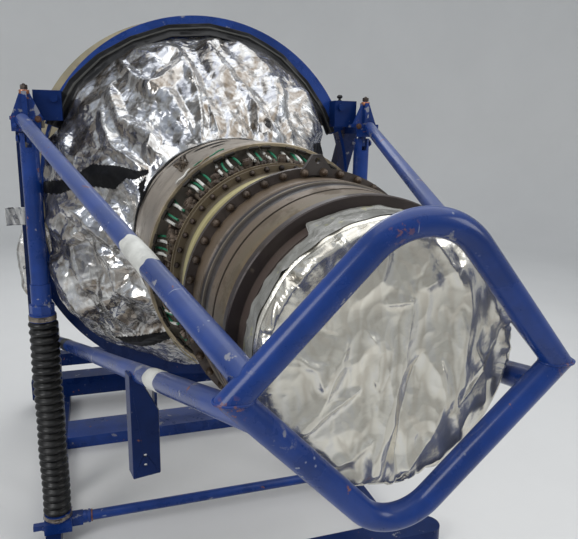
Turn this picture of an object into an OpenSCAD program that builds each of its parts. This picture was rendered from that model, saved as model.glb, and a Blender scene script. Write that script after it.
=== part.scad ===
// Gas turbine with a fan, bagged in foil and held in a tube and box section stand.
// The engine axis runs along Y. The exhaust end points to -Y and the intake to +Y.
// Stations are measured forward of the arch, towards the exhaust end.

/* [Layout] */
// Height of the engine axis over the floor
axis_z = 1250; // [1240:1:1260]
// Rear face of the base, measured behind the arch
base_aft = 1250; // [1246:1:1290]

/* [Core engine] */
// Radius of the smooth core cylinder
core_r = 305; // [303:1:312]
// Radius of the bright rim at the end of the core cylinder
rim_r = 302; // [298:1:306]
// Station of the rim at the end of the core cylinder
rim_s = 874; // [868:1:880]
// Length of the recess with the stub tubes
recess_len = 96; // [90:1:100]
// Radius of the body inside the recess
recess_r = 236; // [230:1:240]
// Number of groups of stub tubes, two of each colour in a group
stub_groups = 20; // [16:1:24]
// Angle between the two stub tubes of one colour in a group
stub_twin = 6; // [5.6:0.1:6.4]
// Diameter of one stub tube
stub_d = 9; // [7:0.5:11]
// Radius of the front flange of the combustor case
gold_r = 261; // [258:1:266]
// Radius of the combustor case between its flanges
combustor_r = 243; // [240:1:248]
// Station of the large bolted flange
bolt_s = 1183; // [1178:1:1188]
// Radius of the large bolted flange
bolt_r = 264; // [260:1:268]
// Thickness of the large bolted flange
bolt_t = 16; // [12:1:20]
// Radius of the turbine case at its wide end
turbine_r1 = 246; // [242:1:250]
// Radius of the turbine case at its narrow end
turbine_r2 = 224; // [220:1:228]
// Station of the dark rear flange
rear_s = 1433; // [1428:1:1438]
// Radius of the dark rear flange
rear_r = 238; // [234:1:242]
// Radius of the exhaust case
exhaust_r = 213; // [210:1:216]
// Length of the exhaust case behind the rear flange
exhaust_len = 58; // [50:1:66]

/* [Lifting lug] */
// Height of the hole in the lug over the axis
lug_hole_h = 278; // [276:0.5:280]
// Diameter of the hole in the lug
lug_hole_d = 11; // [8:1:12]
// Width of the lug at its foot
lug_w = 62; // [54:1:70]
// Thickness of the lug
lug_t = 12; // [8:1:16]

/* [Fan end] */
// Radius of the fan case
fan_r = 649; // [640:1:651]
// Gap from the arch plane to the fan case
fan_gap = 440; // [438:1:450]
// Length of the fan case
fan_len = 430; // [425:1:440]
// Radius of the duct case that passes through the arch
duct_r = 478; // [470:1:482]
// Height over the arch centre at which the hanger flange of the duct case is cut off
hanger_cut = 224; // [222:1:300]

/* [Foil bags] */
// Station where the foil meets the core cylinder
bag_s = 482; // [470:1:500]
// Radius of the foil where it leaves the arch
bag_r = 540; // [530:1:542]
// Radius of the lower half of the foil in the cradle
bag_low_r = 575; // [565:1:579]
// Radius of the foil that bulges out on the left side below the arch
bag_side_r = 545; // [530:1:548]
// Depth of the foil bag over the intake
intake_t = 110; // [90:1:130]
// Reach of the sagging intake bag to each side
sag_x = 790; // [770:1:795]
// Height of the widest place of the intake bag
sag_z = 960; // [940:1:980]
// Height of the lowest corner of the intake bag
sag_low = 670; // [665:1:700]
// Radius of the exhaust bag
end_r = 208; // [204:1:212]
// Station of the front face of the exhaust bag
end_s = 1550; // [1546:1:1552]
// Clearance left round each soft bag
soft_gap = 0.4; // [0.3:0.1:0.6]

/* [Arch and cradle] */
// Outer radius of the arch
arch_r = 600; // [590:1:606]
// Height of the arch centre over the engine axis
arch_up = 131; // [125:1:137]
// Radial depth of the arch section
arch_h = 55; // [50:1:58]
// Angle over the horizontal at which each end of the arch is cut off
arch_cut = 20.5; // [20:0.1:21.5]
// Inner radius of the strap that runs from the arch down to the cradle
strap_r = 577; // [577:0.5:581]
// Thickness of the strap
strap_t = 12; // [8:1:14]
// Inner radius of the lower cradle
cradle_r = 590; // [585:1:595]
// Radial depth of the cradle section
cradle_h = 60; // [50:1:64]
// Thickness of the arch and the cradle along the engine
ring_t = 60; // [50:1:64]

/* [Struts and rear legs] */
// Distance from the centre plane to each strut
strut_x = 610; // [606:1:614]
// Height of the base plate of each head
head_z = 1600; // [1596:1:1604]
// Side of the square section of each rear leg
leg_box = 61; // [56:1:62]
// Distance from the centre plane to each rear leg at its top
leg_x = 637; // [634:1:642]
// Distance from the arch plane to each rear leg at its top
leg_y = 118; // [112:1:124]
// Lean of each rear leg in degrees
leg_lean = 37.8; // [37.2:0.1:38.2]
// Outward splay of each rear leg in degrees
leg_splay = 4; // [3.5:0.1:4.5]
// Height of the top of each rear leg
leg_top = 1575; // [1570:1:1580]
// Depth of the knee block over each rear leg
knee_d = 160; // [156:1:170]
// Height of the knee block over each rear leg
knee_h = 45; // [40:1:50]
// Distance of the strut in front of the arch plane
strut_s = 79; // [77:1:82]
// Diameter of the strut tube
strut_d = 60.3; // [54:0.1:64]
// Height of the top of the strut tube
strut_z = 1558; // [1550:1:1566]
// Width of the slot in the top of the strut
slot_w = 20; // [16:1:24]
// Diameter of the pin through the slot
pin_d = 14; // [10:1:16]
// Diameter of the bellows
bellows_d = 103; // [98:1:106]
// Number of folds in the bellows
folds = 27; // [20:1:30]
// Diameter of the ring over the bellows
ring_d = 90; // [86:1:96]
// Height of the foot of the bellows
bellows_z0 = 127; // [124:1:135]
// Height of the top of the bellows
bellows_z1 = 905; // [890:1:915]

/* [Guard and braces] */
// Diameter of the guard and brace tubes
tube_d = 42.2; // [38:0.1:44]
// Distance from the centre plane to each guard corner
guard_w = 258; // [252:1:264]
// Height of the tube crossing point over the guard corners
guard_up = 285; // [275:1:295]
// Depth of the tube crossing point under the guard corners
guard_down = 278; // [270:1:286]
// Station of the guard
guard_s = 1591; // [1588:1:1600]
// Lean of the guard towards the exhaust end in degrees
guard_lean = 5.2; // [4:0.1:6]
// Radius of the top bend
bend_top = 110; // [100:1:120]
// Radius of the bottom bend
bend_low = 80; // [70:1:90]
// Place of the upper brace along the upper guard tube
brace_hi = 0.08; // [0.07:0.005:0.1]
// Place of the lower brace along the lower guard tube
brace_lo = 0.118; // [0.1:0.002:0.13]
// Height of the upper brace at the head
brace_z = 1599; // [1592:1:1604]
// Height of the side tube at its post
side_z = 732; // [726:1:738]
// Distance from the centre plane to each side tube at its post
side_x = 587; // [585:1:589]
// Distance from the arch plane to the side tube posts
post_gap = 180; // [172:1:190]
// Width of each side tube post
post_w = 72; // [66:1:76]
// Depth of each side tube post
post_d = 60; // [50:1:70]
// Height of each side tube post
post_z = 790; // [780:1:800]
// Width of the bracket under each side tube
bracket_w = 70; // [60:1:80]
// Height of the foot of the bracket under each side tube
bracket_z = 815; // [805:1:840]
// Station of the bracket under each side tube
bracket_s = 1050; // [1040:1:1060]

/* [Base] */
// Height of the side rails
rail_h = 60; // [50:1:64]
// Width of the side rails
rail_w = 55; // [50:1:60]
// Distance from the centre plane to each side rail
rail_x = 628; // [626:1:632]
// Distance from the arch plane to the flat middle beam
middle_gap = 625; // [615:1:640]
// Depth of the flat middle beam
middle_d = 190; // [170:1:200]
// Length of the rear beam
rear_len = 1600; // [1590:1:1640]
// Depth of the rear beam
rear_d = 120; // [110:1:124]
// Height of the rear beam section
rear_h = 110; // [100:1:116]
// Length of the front cross beam over its round ends
front_len = 1640; // [1600:1:1680]
// Width of the front cross beam
front_w = 100; // [90:1:110]
// Height of the front cross beam
front_h = 80; // [70:1:90]
// Station of the rear edge of the front cross beam
front_s = 455; // [440:1:470]
// Height of the underside of the upper rear beam
upper_z = 277; // [270:1:284]
// Side of the square section of the upper rear beam
upper_h = 70; // [60:1:76]
// Height of the tie rod
rod_z = 84; // [82:1:86]
// Diameter of the tie rod
rod_d = 42; // [36:0.1:42.4]

/* [Hidden] */
steel_blue = [0.13, 0.23, 0.62];
navy = [0.07, 0.11, 0.36];
olive = [0.62, 0.60, 0.42];
warm = [0.45, 0.40, 0.35];
foil = [0.72, 0.71, 0.68];
tube_r = tube_d / 2;
cope = 0.2;
seam = 0.05;
arch_y = (guard_s + (guard_up - bend_top * (1 / cos(atan(guard_up / guard_w)) - 1)) * sin(guard_lean)
    + tube_r - base_aft) / 2;
guard_y = arch_y - guard_s;
fan_axis_z = axis_z + arch_up;
fan_face = fan_gap + fan_len;
post_front = arch_y + post_gap;
strut_y = arch_y - strut_s;
head_front = strut_y - 49;
brace_x = strut_x + 10;
foot_half = 50;
foot_top = rail_h + 44;
arm_x = strut_x - 90;
collar_z = bellows_z1 + 25;
tube_z = collar_z + 35;
sleeve_h = 74;
side_cut = 165;
tube_cut = 3 * tube_d;
bracket_top = max(head_z + 100, leg_top + knee_h);
knee_top = max(head_z + 20, leg_top + knee_h);
leg_long = leg_top / cos(leg_lean) / cos(leg_splay) + leg_box;
// distance from the centre plane to the inner face of each rear leg at the upper rear beam
leg_in = leg_x - leg_box / 2 + (leg_top - upper_z - upper_h / 2) * tan(leg_splay) / cos(leg_lean);
gold_s = rim_s + recess_len;
exhaust_s = rear_s + exhaust_len;

// Direction helpers
function unit(v) = v / norm(v);
function guard_pt(x, h) = [x, guard_y - h * sin(guard_lean), axis_z - 9 + h * cos(guard_lean)];
function brace_end(side) = guard_pt(side * guard_w * (1 - brace_hi), guard_up * brace_hi);
function side_end(side) = guard_pt(side * guard_w * (1 - brace_lo), -guard_down * brace_lo);

// Solid of revolution from radius and station pairs, about the core axis or one that lies higher
module lathe(pts, facets = 96, up = 0)
    translate([0, arch_y, axis_z + up])
        rotate([90, 0, 0])
            rotate_extrude($fn = facets)
                polygon(pts);

// Round bar between two points
module bar(p, q, r, facets = 40) {
    v = q - p;
    translate(p)
        rotate([0, acos(v[2] / norm(v)), atan2(v[1], v[0])])
            cylinder(h = norm(v), r = r, $fn = facets);
}

// Box from two opposite corners
module block(p, q)
    translate(p)
        cube(q - p);

// Mirrored copy for the right hand side
module side(right)
    mirror([right ? 1 : 0, 0, 0])
        children();

module fan_case() color(olive)
    lathe([
        [0, -fan_gap], [fan_r + 4, -fan_gap], [fan_r + 4, -fan_gap - 14], [fan_r - 6, -fan_gap - 14],
        [fan_r - 6, -fan_gap - 54], [fan_r, -fan_gap - 60],
        [fan_r, -fan_face + 150], [fan_r - 6, -fan_face + 144],
        [fan_r - 6, -fan_face + 40], [fan_r - 1, -fan_face + 40], [fan_r - 1, -fan_face + 26],
        [fan_r - 10, -fan_face + 26], [fan_r - 30, -fan_face], [0, -fan_face]
    ], 120, arch_up);

// Foil bag over the intake, which sags to both sides below the fan case
module intake_bag() color(foil) {
    sag_r = (sag_z - sag_low) / 2;
    difference() {
        hull() {
            translate([0, arch_y + fan_face + intake_t, fan_axis_z])
                rotate([90, 0, 0])
                    cylinder(h = intake_t - soft_gap, r = fan_r - 24, $fn = 48);
            for (s = [-1, 1])
                for (h = [sag_z, sag_low + sag_r])
                    translate([s * (sag_x - sag_r - (sag_z - h) * 0.06), arch_y + fan_face + intake_t * 0.9, h])
                        rotate([90, 0, 0])
                            cylinder(h = intake_t * 0.9 - soft_gap, r = sag_r, $fn = 32);
        }
        // the bag gives way to legs that stand higher
        leg_bar(soft_gap);
        side(true)
            leg_bar(soft_gap);
    }
}

module duct_case() color(warm) {
    lathe([[0, -20], [duct_r, -20], [duct_r, -fan_gap], [0, -fan_gap]], 96, arch_up);
    // hanger flange that seats in the arch
    intersection() {
        lathe([
            [duct_r - 10, -20], [arch_r - arch_h - 0.3, -20], [arch_r - arch_h - 0.3, 4 - ring_t],
            [duct_r - 10, 4 - ring_t]
        ], 96, arch_up);
        block([-arch_r, arch_y, fan_axis_z + hanger_cut], [arch_r, arch_y + ring_t, fan_axis_z + arch_r]);
    }
}

module core_case() color(warm)
    lathe([
        [0, -20], [core_r, -20], [core_r, rim_s - 20], [rim_r, rim_s - 14], [rim_r, rim_s],
        [rim_r - 6, rim_s], [rim_r - 6, rim_s - 26], [recess_r + 8, rim_s - 26], [recess_r + 8, rim_s - 4],
        [0, rim_s - 4]
    ]);

module recess_body() color([0.22, 0.19, 0.16])
    lathe([
        [0, rim_s - 4], [recess_r, rim_s - 4], [recess_r, rim_s + 20], [recess_r - 10, rim_s + 24],
        [recess_r - 10, gold_s - 20], [recess_r + 6, gold_s - 14], [recess_r + 6, gold_s - 6], [0, gold_s - 6]
    ]);

// One family of short tubes that bridge the recess
module stubs(turn)
    translate([0, arch_y, axis_z])
        rotate([90, 0, 0])
            for (i = [0:stub_groups - 1])
                for (twin = [0, stub_twin])
                    rotate([0, 0, i * 360 / stub_groups + turn + twin])
                        bar([rim_r - 18, 0, rim_s - 25.8], [gold_r - 14, 0, gold_s - 6.2], stub_d / 2, 14);

module stub_tubes_white() color([0.93, 0.92, 0.88]) stubs(3.9);

module stub_tubes_green() color([0.15, 0.5, 0.35]) stubs(1.1);

module combustor_case() color([0.55, 0.5, 0.3])
    lathe([
        [0, gold_s - 6], [gold_r, gold_s - 6], [gold_r, gold_s], [gold_r - 4, gold_s],
        [gold_r - 4, gold_s + 14], [combustor_r, gold_s + 14], [combustor_r, bolt_s - bolt_t],
        [0, bolt_s - bolt_t]
    ]);

module large_flange() color([0.24, 0.22, 0.22])
    lathe([
        [0, bolt_s - bolt_t], [bolt_r, bolt_s - bolt_t], [bolt_r, bolt_s], [0, bolt_s]
    ]);

module lifting_lug() color([0.3, 0.27, 0.24])
    translate([0, arch_y - bolt_s, axis_z])
        rotate([90, 0, 0])
            difference() {
                linear_extrude(height = lug_t)
                    polygon([
                        [-lug_w / 2, turbine_r1 + 4], [lug_w / 2, turbine_r1 + 4], [lug_w / 2, turbine_r1 + 12],
                        [9, lug_hole_h + 12], [-9, lug_hole_h + 12], [-lug_w / 2, turbine_r1 + 12]
                    ]);
                translate([0, lug_hole_h, -1])
                    cylinder(h = lug_t + 2, r = lug_hole_d / 2, $fn = 32);
            }

module turbine_case() color(warm)
    lathe([
        [0, bolt_s], [turbine_r1, bolt_s], [turbine_r1, bolt_s + 60], [turbine_r1 - 4, bolt_s + 64],
        [turbine_r1 - 4, bolt_s + 84], [turbine_r1 - 1, bolt_s + 86], [turbine_r1 - 1, bolt_s + 92],
        [turbine_r1 - 6, bolt_s + 94], [turbine_r1 - 6, bolt_s + 118], [turbine_r1 - 8, bolt_s + 150],
        [turbine_r1 - 12, bolt_s + 151], [turbine_r1 - 12, bolt_s + 155], [turbine_r1 - 9, bolt_s + 156],
        [turbine_r2, rear_s - 22], [rear_r, rear_s - 20], [rear_r, rear_s - 2], [rear_r - 2, rear_s],
        [0, rear_s]
    ]);

module exhaust_case() color(warm)
    lathe([
        [0, rear_s], [exhaust_r + 4, rear_s], [exhaust_r, rear_s + 22], [exhaust_r - 3, rear_s + 23],
        [exhaust_r - 3, rear_s + 26], [exhaust_r, rear_s + 27], [exhaust_r - 2, exhaust_s], [0, exhaust_s]
    ]);

module duct_bag() color(foil)
    difference() {
        hull() {
            intersection() {
                bag_disc(20 - soft_gap, bag_r, arch_up);
                block([-bag_r, arch_y - 10, fan_axis_z + hanger_cut],
                    [bag_r, arch_y + 30, fan_axis_z + bag_r]);
            }
            bag_disc(20 - soft_gap, duct_r, arch_up);
            intersection() {
                bag_disc(20 - soft_gap, bag_side_r, arch_up);
                block([-bag_side_r, arch_y - 10, axis_z], [-duct_r, arch_y + 30, fan_axis_z + side_cut]);
            }
            intersection() {
                bag_disc(20 - soft_gap, bag_low_r, 0);
                block([-bag_low_r, arch_y - 10, axis_z - bag_low_r], [bag_low_r, arch_y + 30, axis_z]);
            }
            bag_disc(10 - bag_s, core_r + 18, 0);
        }
        translate([0, arch_y + 40, axis_z])
            rotate([90, 0, 0])
                cylinder(h = bag_s + 60, r = core_r + soft_gap, $fn = 96);
    }

// Thin disc across the engine, by its place behind the arch, its radius and its height over the core axis
module bag_disc(back, r, up)
    translate([0, arch_y + back, axis_z + up])
        rotate([90, 0, 0])
            cylinder(h = 20, r = r, $fn = 48);

module exhaust_bag() color(foil)
    lathe([
        [0, exhaust_s + soft_gap], [end_r, exhaust_s + soft_gap], [end_r, end_s - 26],
        [end_r - 6, end_s - 10],
        [end_r - 24, end_s], [0, end_s]
    ]);

module arch() color(steel_blue)
    translate([0, arch_y + ring_t, fan_axis_z])
        rotate([90, 0, 0]) {
            rotate([0, 0, arch_cut])
                rotate_extrude(angle = 180 - 2 * arch_cut, $fn = 96)
                    translate([arch_r - arch_h, 0])
                        square([arch_h, ring_t]);
            // strap that runs on down to the cradle
            rotate_extrude(angle = 180, $fn = 96)
                translate([strap_r, 0])
                    square([strap_t, ring_t]);
        }

// Lower ring, which meets the ends of the arch from below
module cradle() color(navy)
    intersection() {
        lathe([[cradle_r, 0], [cradle_r + cradle_h, 0], [cradle_r + cradle_h, -ring_t], [cradle_r, -ring_t]]);
        block([-cradle_r - cradle_h, arch_y, axis_z - cradle_r - cradle_h],
            [cradle_r + cradle_h, arch_y + ring_t, fan_axis_z]);
    }

module arch_bracket(right) side(right) color(navy) {
    block([-strut_x + 20, arch_y - 60, head_z + 1], [-strut_x + 110, arch_y, bracket_top]);
    translate([-strut_x + 86, arch_y - 60, head_z + 74])
        rotate([90, 0, 0])
            cylinder(h = 14, r = 13, $fn = 24);
    // knee block on top of the rear leg
    block([-strut_x - 45, arch_y, leg_top], [-strut_x + 38, arch_y + knee_d, knee_top]);
}

module head(right) side(right) color(steel_blue) {
    // flat base plate and the lug that drops into the strut slot
    block([-strut_x - 50, head_front + 10, head_z], [-strut_x + 50, arch_y - 60, head_z + 12]);
    block([-strut_x - 8, strut_y - 22, strut_z - 30], [-strut_x + 8, strut_y + 18, head_z]);
    translate([-strut_x, strut_y, strut_z - 18])
        rotate([0, 90, 0])
            cylinder(h = strut_d + 12, r = pin_d / 2, center = true, $fn = 24);
    // front plate that takes the brace
    block([-strut_x - 46, head_front, head_z - 36], [-strut_x + 44, head_front + 10, head_z + 12]);
    // triangular gusset and its centre rib
    translate([-strut_x, strut_y - 10, head_z + 12])
        rotate([90, 0, 0])
            linear_extrude(height = 12)
                polygon([[-48, 0], [48, 0], [44, 8], [10, 84], [-14, 84], [-44, 8]]);
    block([-strut_x - 10, head_front + 14, head_z + 12], [-strut_x + 6, strut_y - 22, head_z + 92]);
    block([-strut_x - 10, strut_y - 10, head_z + 12], [-strut_x + 6, arch_y - 62, head_z + 92]);
    // bolt on the crown
    translate([-strut_x - 2, strut_y - 16, head_z + 84])
        cylinder(h = 12, r = 15, $fn = 32);
    translate([-strut_x - 2, strut_y - 16, head_z + 96])
        cylinder(h = 16, r = 10, $fn = 6);
}

// Short post on the rail that carries the end of the side tube
module post(right) side(right) color(navy)
    block([-side_x - post_w + 9, post_front, rail_h], [-side_x + 9, post_front + post_d, post_z]);

module strut(right) side(right) color(steel_blue)
    translate([-strut_x, strut_y, 0]) {
        difference() {
            translate([0, 0, tube_z + sleeve_h - 9])
                cylinder(h = strut_z - tube_z - sleeve_h + 9, r = strut_d / 2, $fn = 48);
            translate([-slot_w / 2, -60, strut_z - 46])
                cube([slot_w, 120, 60]);
            translate([0, 0, strut_z - 18])
                rotate([0, 90, 0])
                    cylinder(h = 100, r = pin_d / 2 + 0.1, center = true, $fn = 24);
        }
        translate([0, 0, tube_z])
            cylinder(h = sleeve_h, r = strut_d / 2 + 4, $fn = 48);
        translate([0, 0, collar_z])
            cylinder(h = tube_z - collar_z, r = 42, $fn = 8);
        translate([0, 0, bellows_z1])
            cylinder(h = 25, r = ring_d / 2, $fn = 48);
    }

module bellows(right) side(right) color([0.05, 0.05, 0.05])
    translate([-strut_x, strut_y, bellows_z0])
        rotate_extrude($fn = 40)
            polygon(concat([[0, 0]], [
                for (i = [0:folds * 2])
                    [bellows_d / 2 - (i % 2 == 0 ? 9 : 0), i * (bellows_z1 - bellows_z0) / (folds * 2)]
            ], [[0, bellows_z1 - bellows_z0]]));

module foot(right) side(right) color(steel_blue) {
    difference() {
        block([-strut_x - foot_half, strut_y - foot_half, rail_h],
            [-strut_x + foot_half, strut_y + foot_half, foot_top]);
        // blind hole in the outer face
        translate([-strut_x - foot_half - 1, strut_y, rail_h + 18])
            rotate([0, 90, 0])
                cylinder(h = 21, r = 7, $fn = 24);
    }
    translate([-strut_x, strut_y, foot_top])
        cylinder(h = bellows_z0 - foot_top, r = foot_half, $fn = 48);
    block([-strut_x - foot_half - 42, strut_y - 12, rail_h],
        [-strut_x - foot_half, strut_y + 12, rail_h + 20]);
    // arm that takes the tie rod
    block([-strut_x + foot_half, strut_y - 22, rod_z - 22], [-arm_x, strut_y + 22, rod_z + 18]);
}

module tie_rod() color(steel_blue)
    translate([-arm_x, strut_y, rod_z])
        rotate([0, 90, 0])
            cylinder(h = 2 * arm_x, r = rod_d / 2 - 1, $fn = 40);

// One half of the guard: two straight tubes and a bend, in the guard plane
module vee(up, bend) {
    a = atan(up / guard_w);
    t = bend * tan(a);
    centre_h = up - bend / cos(a);
    difference() {
        union() {
            for (s = [-1, 1]) {
                v = unit([s * guard_w, 0, -up]);
                bar([s * guard_w, 0, 0] + 60 * v, [0, 0, up] + (t + seam) * v, tube_r, 48);
            }
            translate([0, 0, centre_h])
                rotate([90, 0, 0])
                    rotate([0, 0, 90 - a])
                        rotate_extrude(angle = 2 * a, $fn = 72)
                            translate([bend, 0])
                                circle(r = tube_r, $fn = 48);
        }
        translate([-guard_w - 200, -100, -200])
            cube([2 * guard_w + 400, 200, 200]);
    }
}

module guard_upper() color(steel_blue)
    translate([0, guard_y, axis_z - 9])
        rotate([guard_lean, 0, 0])
            vee(guard_up, bend_top);

module guard_lower() color(steel_blue)
    translate([0, guard_y, axis_z - 9])
        rotate([guard_lean, 0, 0])
            rotate([0, 180, 0])
                vee(guard_down, bend_low);

// Solid stand-in for the guard tubes, used to cope the braces
module guard_cutter(side_sign) {
    corner = guard_pt(side_sign * guard_w, 0);
    for (far = [guard_pt(0, guard_up), guard_pt(0, -guard_down)])
        bar(corner + 90 * unit(corner - far), far, tube_r + cope, 48);
}

module brace(right) side(right) color(steel_blue) {
    p = [-brace_x, head_front, brace_z];
    q = brace_end(-1);
    difference() {
        bar(p - 60 * unit(q - p), q, tube_r, 48);
        block([-brace_x - tube_cut, head_front, brace_z - tube_cut],
            [-brace_x + tube_cut, head_front + tube_cut, brace_z + tube_cut]);
        guard_cutter(-1);
    }
}

module side_tube(right) side(right) color(steel_blue) {
    p = [-side_x, post_front, side_z];
    q = side_end(-1);
    difference() {
        bar(p - 60 * unit(q - p), q, tube_r, 48);
        block([-side_x - tube_cut, post_front, side_z - tube_cut],
            [-side_x + tube_cut, post_front + tube_cut, side_z + tube_cut]);
        guard_cutter(-1);
        brace_cutter();
    }
}

// Stand-in for the upper brace where the two tubes meet at the guard corner
module brace_cutter() {
    p = [-brace_x, head_front, brace_z];
    bar(p, brace_end(-1) + 30 * unit(brace_end(-1) - p), tube_r + cope, 48);
}

module bracket(right) side(right) color(steel_blue) {
    p = [-side_x, post_front, side_z];
    q = side_end(-1);
    // point on the side tube over the bracket
    f = (arch_y - bracket_s - p[1]) / (q[1] - p[1]);
    c = p + f * (q - p);
    difference() {
        union() {
            block([c[0] - bracket_w / 2, c[1] - 4, bracket_z], [c[0] + bracket_w / 2, c[1] + 4, c[2]]);
            block([c[0] - bracket_w / 2, c[1] + 4, bracket_z], [c[0] - bracket_w / 2 + 6, c[1] + 36, c[2]]);
            block([c[0] + bracket_w / 2 - 6, c[1] + 4, bracket_z + 90],
                [c[0] + bracket_w / 2, c[1] + 36, c[2]]);
        }
        bar(p, q, tube_r + cope, 48);
        for (h = [28, 52])
            translate([c[0], c[1] + 20, bracket_z + h])
                rotate([90, 0, 0])
                    cylinder(h = 40, r = 4, $fn = 20);
    }
}

module rail(right) side(right) color(navy)
    block([-rail_x - rail_w / 2, arch_y - front_s, 0], [-rail_x + rail_w / 2, arch_y + base_aft, rail_h]);

module front_beam() color(navy)
    linear_extrude(height = front_h) {
        translate([-front_len / 2 + front_w / 2, arch_y - front_s - front_w])
            square([front_len - front_w, front_w]);
        for (s = [-1, 1])
            translate([s * (front_len - front_w) / 2, arch_y - front_s - front_w / 2])
                circle(r = front_w / 2, $fn = 48);
    }

module middle_beam() color(steel_blue)
    block([rail_w / 2 - rail_x, arch_y + middle_gap, 0],
        [rail_x - rail_w / 2, arch_y + middle_gap + middle_d, rail_h]);

module rear_beam() color(navy)
    block([-rear_len / 2, arch_y + base_aft - rear_d, rail_h],
        [rear_len / 2, arch_y + base_aft, rail_h + rear_h]);

// Axis of the left rear leg, from the place at its top down and back
module leg_bar(grow)
    translate([-leg_x, arch_y + leg_y, leg_top])
        rotate([leg_lean, 0, 0])
            rotate([0, leg_splay, 0])
                translate([-leg_box / 2 - grow, -leg_box / 2 - grow, -leg_long])
                    cube([leg_box + 2 * grow, leg_box + 2 * grow, leg_long + 2 * leg_box]);

module upper_beam() color(navy)
    difference() {
        y = arch_y + leg_y + (leg_top - upper_z - upper_h / 2) * tan(leg_lean);
        block([-leg_in - 12, y - upper_h / 2, upper_z], [leg_in + 12, y + upper_h / 2, upper_z + upper_h]);
        leg_bar(cope);
        side(true)
            leg_bar(cope);
    }

// Box section leg, cut level on the knee block and on the rear beam
module rear_leg(right) side(right) color(navy)
    intersection() {
        leg_bar(0);
        block([-2 * leg_x, arch_y - leg_y, rail_h + rear_h], [0, arch_y + 2 * base_aft, leg_top]);
    }

fan_case();
intake_bag();
duct_case();
core_case();
recess_body();
stub_tubes_white();
stub_tubes_green();
combustor_case();
large_flange();
lifting_lug();
turbine_case();
exhaust_case();
duct_bag();
exhaust_bag();
arch();
cradle();
arch_bracket(false);  // arch_bracket_left
arch_bracket(true);  // arch_bracket_right
head(false);  // head_left
head(true);  // head_right
post(false);  // post_left
post(true);  // post_right
strut(false);  // strut_left
strut(true);  // strut_right
bellows(false);  // bellows_left
bellows(true);  // bellows_right
foot(false);  // foot_left
foot(true);  // foot_right
tie_rod();
guard_upper();
guard_lower();
brace(false);  // brace_left
brace(true);  // brace_right
side_tube(false);  // side_tube_left
side_tube(true);  // side_tube_right
bracket(false);  // bracket_left
bracket(true);  // bracket_right
rail(false);  // rail_left
rail(true);  // rail_right
front_beam();
middle_beam();
rear_beam();
upper_beam();
rear_leg(false);  // rear_leg_left
rear_leg(true);  // rear_leg_right
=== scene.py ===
# Looks of a bagged gas turbine in its tube and box section stand: paint, foil, tape, hardware and stage.
import math

import bmesh
import bpy
import numpy as np
from mathutils import Matrix, Vector, noise


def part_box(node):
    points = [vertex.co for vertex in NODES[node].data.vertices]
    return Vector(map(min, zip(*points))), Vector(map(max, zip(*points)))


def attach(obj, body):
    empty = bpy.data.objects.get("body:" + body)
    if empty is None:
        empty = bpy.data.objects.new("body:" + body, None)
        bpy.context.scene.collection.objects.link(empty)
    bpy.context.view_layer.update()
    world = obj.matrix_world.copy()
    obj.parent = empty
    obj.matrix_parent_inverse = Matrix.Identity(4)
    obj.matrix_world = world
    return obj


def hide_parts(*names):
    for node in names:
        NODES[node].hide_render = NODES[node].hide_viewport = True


bl_info = {
    "name": "Bagged Gas Turbine",
    "version": (1, 0, 0),
    "blender": (4, 5, 0),
    "location": "View3D > Sidebar > Turbine",
    "description": "Dresses a gas turbine that is bagged in foil and held in a blue stand",
    "category": "Object",
}

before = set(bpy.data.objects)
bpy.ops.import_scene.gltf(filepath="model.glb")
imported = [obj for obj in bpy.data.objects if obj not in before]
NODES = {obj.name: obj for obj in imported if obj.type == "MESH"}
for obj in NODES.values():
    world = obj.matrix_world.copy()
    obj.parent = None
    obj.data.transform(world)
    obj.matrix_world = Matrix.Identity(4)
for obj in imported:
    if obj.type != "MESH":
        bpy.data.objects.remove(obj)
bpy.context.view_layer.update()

ARCH_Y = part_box("cradle")[0].y
CORE_LOW, CORE_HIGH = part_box("core_case")
AXIS_Z = (CORE_LOW.z + CORE_HIGH.z) / 2
CORE_R = (CORE_HIGH.z - CORE_LOW.z) / 2
FAN_LOW, FAN_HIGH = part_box("fan_case")
FAN_Z = (FAN_LOW.z + FAN_HIGH.z) / 2
ARCH_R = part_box("arch")[1].z - FAN_Z
ARCH_UP = FAN_Z - AXIS_Z
END_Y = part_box("exhaust_bag")[0].y
BELLOWS_LOW, BELLOWS_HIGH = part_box("bellows_left")
STRUT_X = abs(BELLOWS_LOW.x + BELLOWS_HIGH.x) / 2
STRUT_Y = (BELLOWS_LOW.y + BELLOWS_HIGH.y) / 2
SIDES = ((-1, "left"), (1, "right"))

# The camera's place and turn over the floor, in metres and radians, and its reach in pixels
CAMERA_PLACE = Vector((-0.4200, ARCH_Y - 2.2927, 1.5845))
CAMERA_TURN = (0.32136, 0.22948, -0.01965)
CAMERA_REACH = 596.56
PICTURE = (578, 539)


def station(s):
    """Row place of a station, which counts in metres from the arch towards the exhaust end."""
    return ARCH_Y - s


# ---------------------------------------------------------------- sizes and colours


def colour_prop(name, text, value):
    return bpy.props.FloatVectorProperty(
        name=name, description=text, subtype="COLOR", size=3, min=0, max=1, default=value
    )


def length_prop(name, text, value, low, high):
    return bpy.props.FloatProperty(
        name=name, description=text, default=value, min=low, max=high, unit="LENGTH", subtype="DISTANCE"
    )


def count_prop(name, text, value, low, high):
    return bpy.props.IntProperty(name=name, description=text, default=value, min=low, max=high)


class TurbinePaint(bpy.types.PropertyGroup):
    """Colours of the painted stand."""

    blue: colour_prop("Blue", "Paint of the tubes and the struts", (0.010, 0.046, 0.240))
    # The darker blue is a copy of the blue at about four tenths of it: painted shade on the parts that stand
    # in shade.
    dark_blue: colour_prop("Dark blue", "Paint of the brackets and the base", (0.004, 0.019, 0.100))
    # Pale blue of dust on upper sides, which also paints the sheen of light on them.
    chalk_and_sheen: colour_prop("Chalked blue", "Paint worn pale by dust and light", (0.120, 0.140, 0.225))


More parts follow.
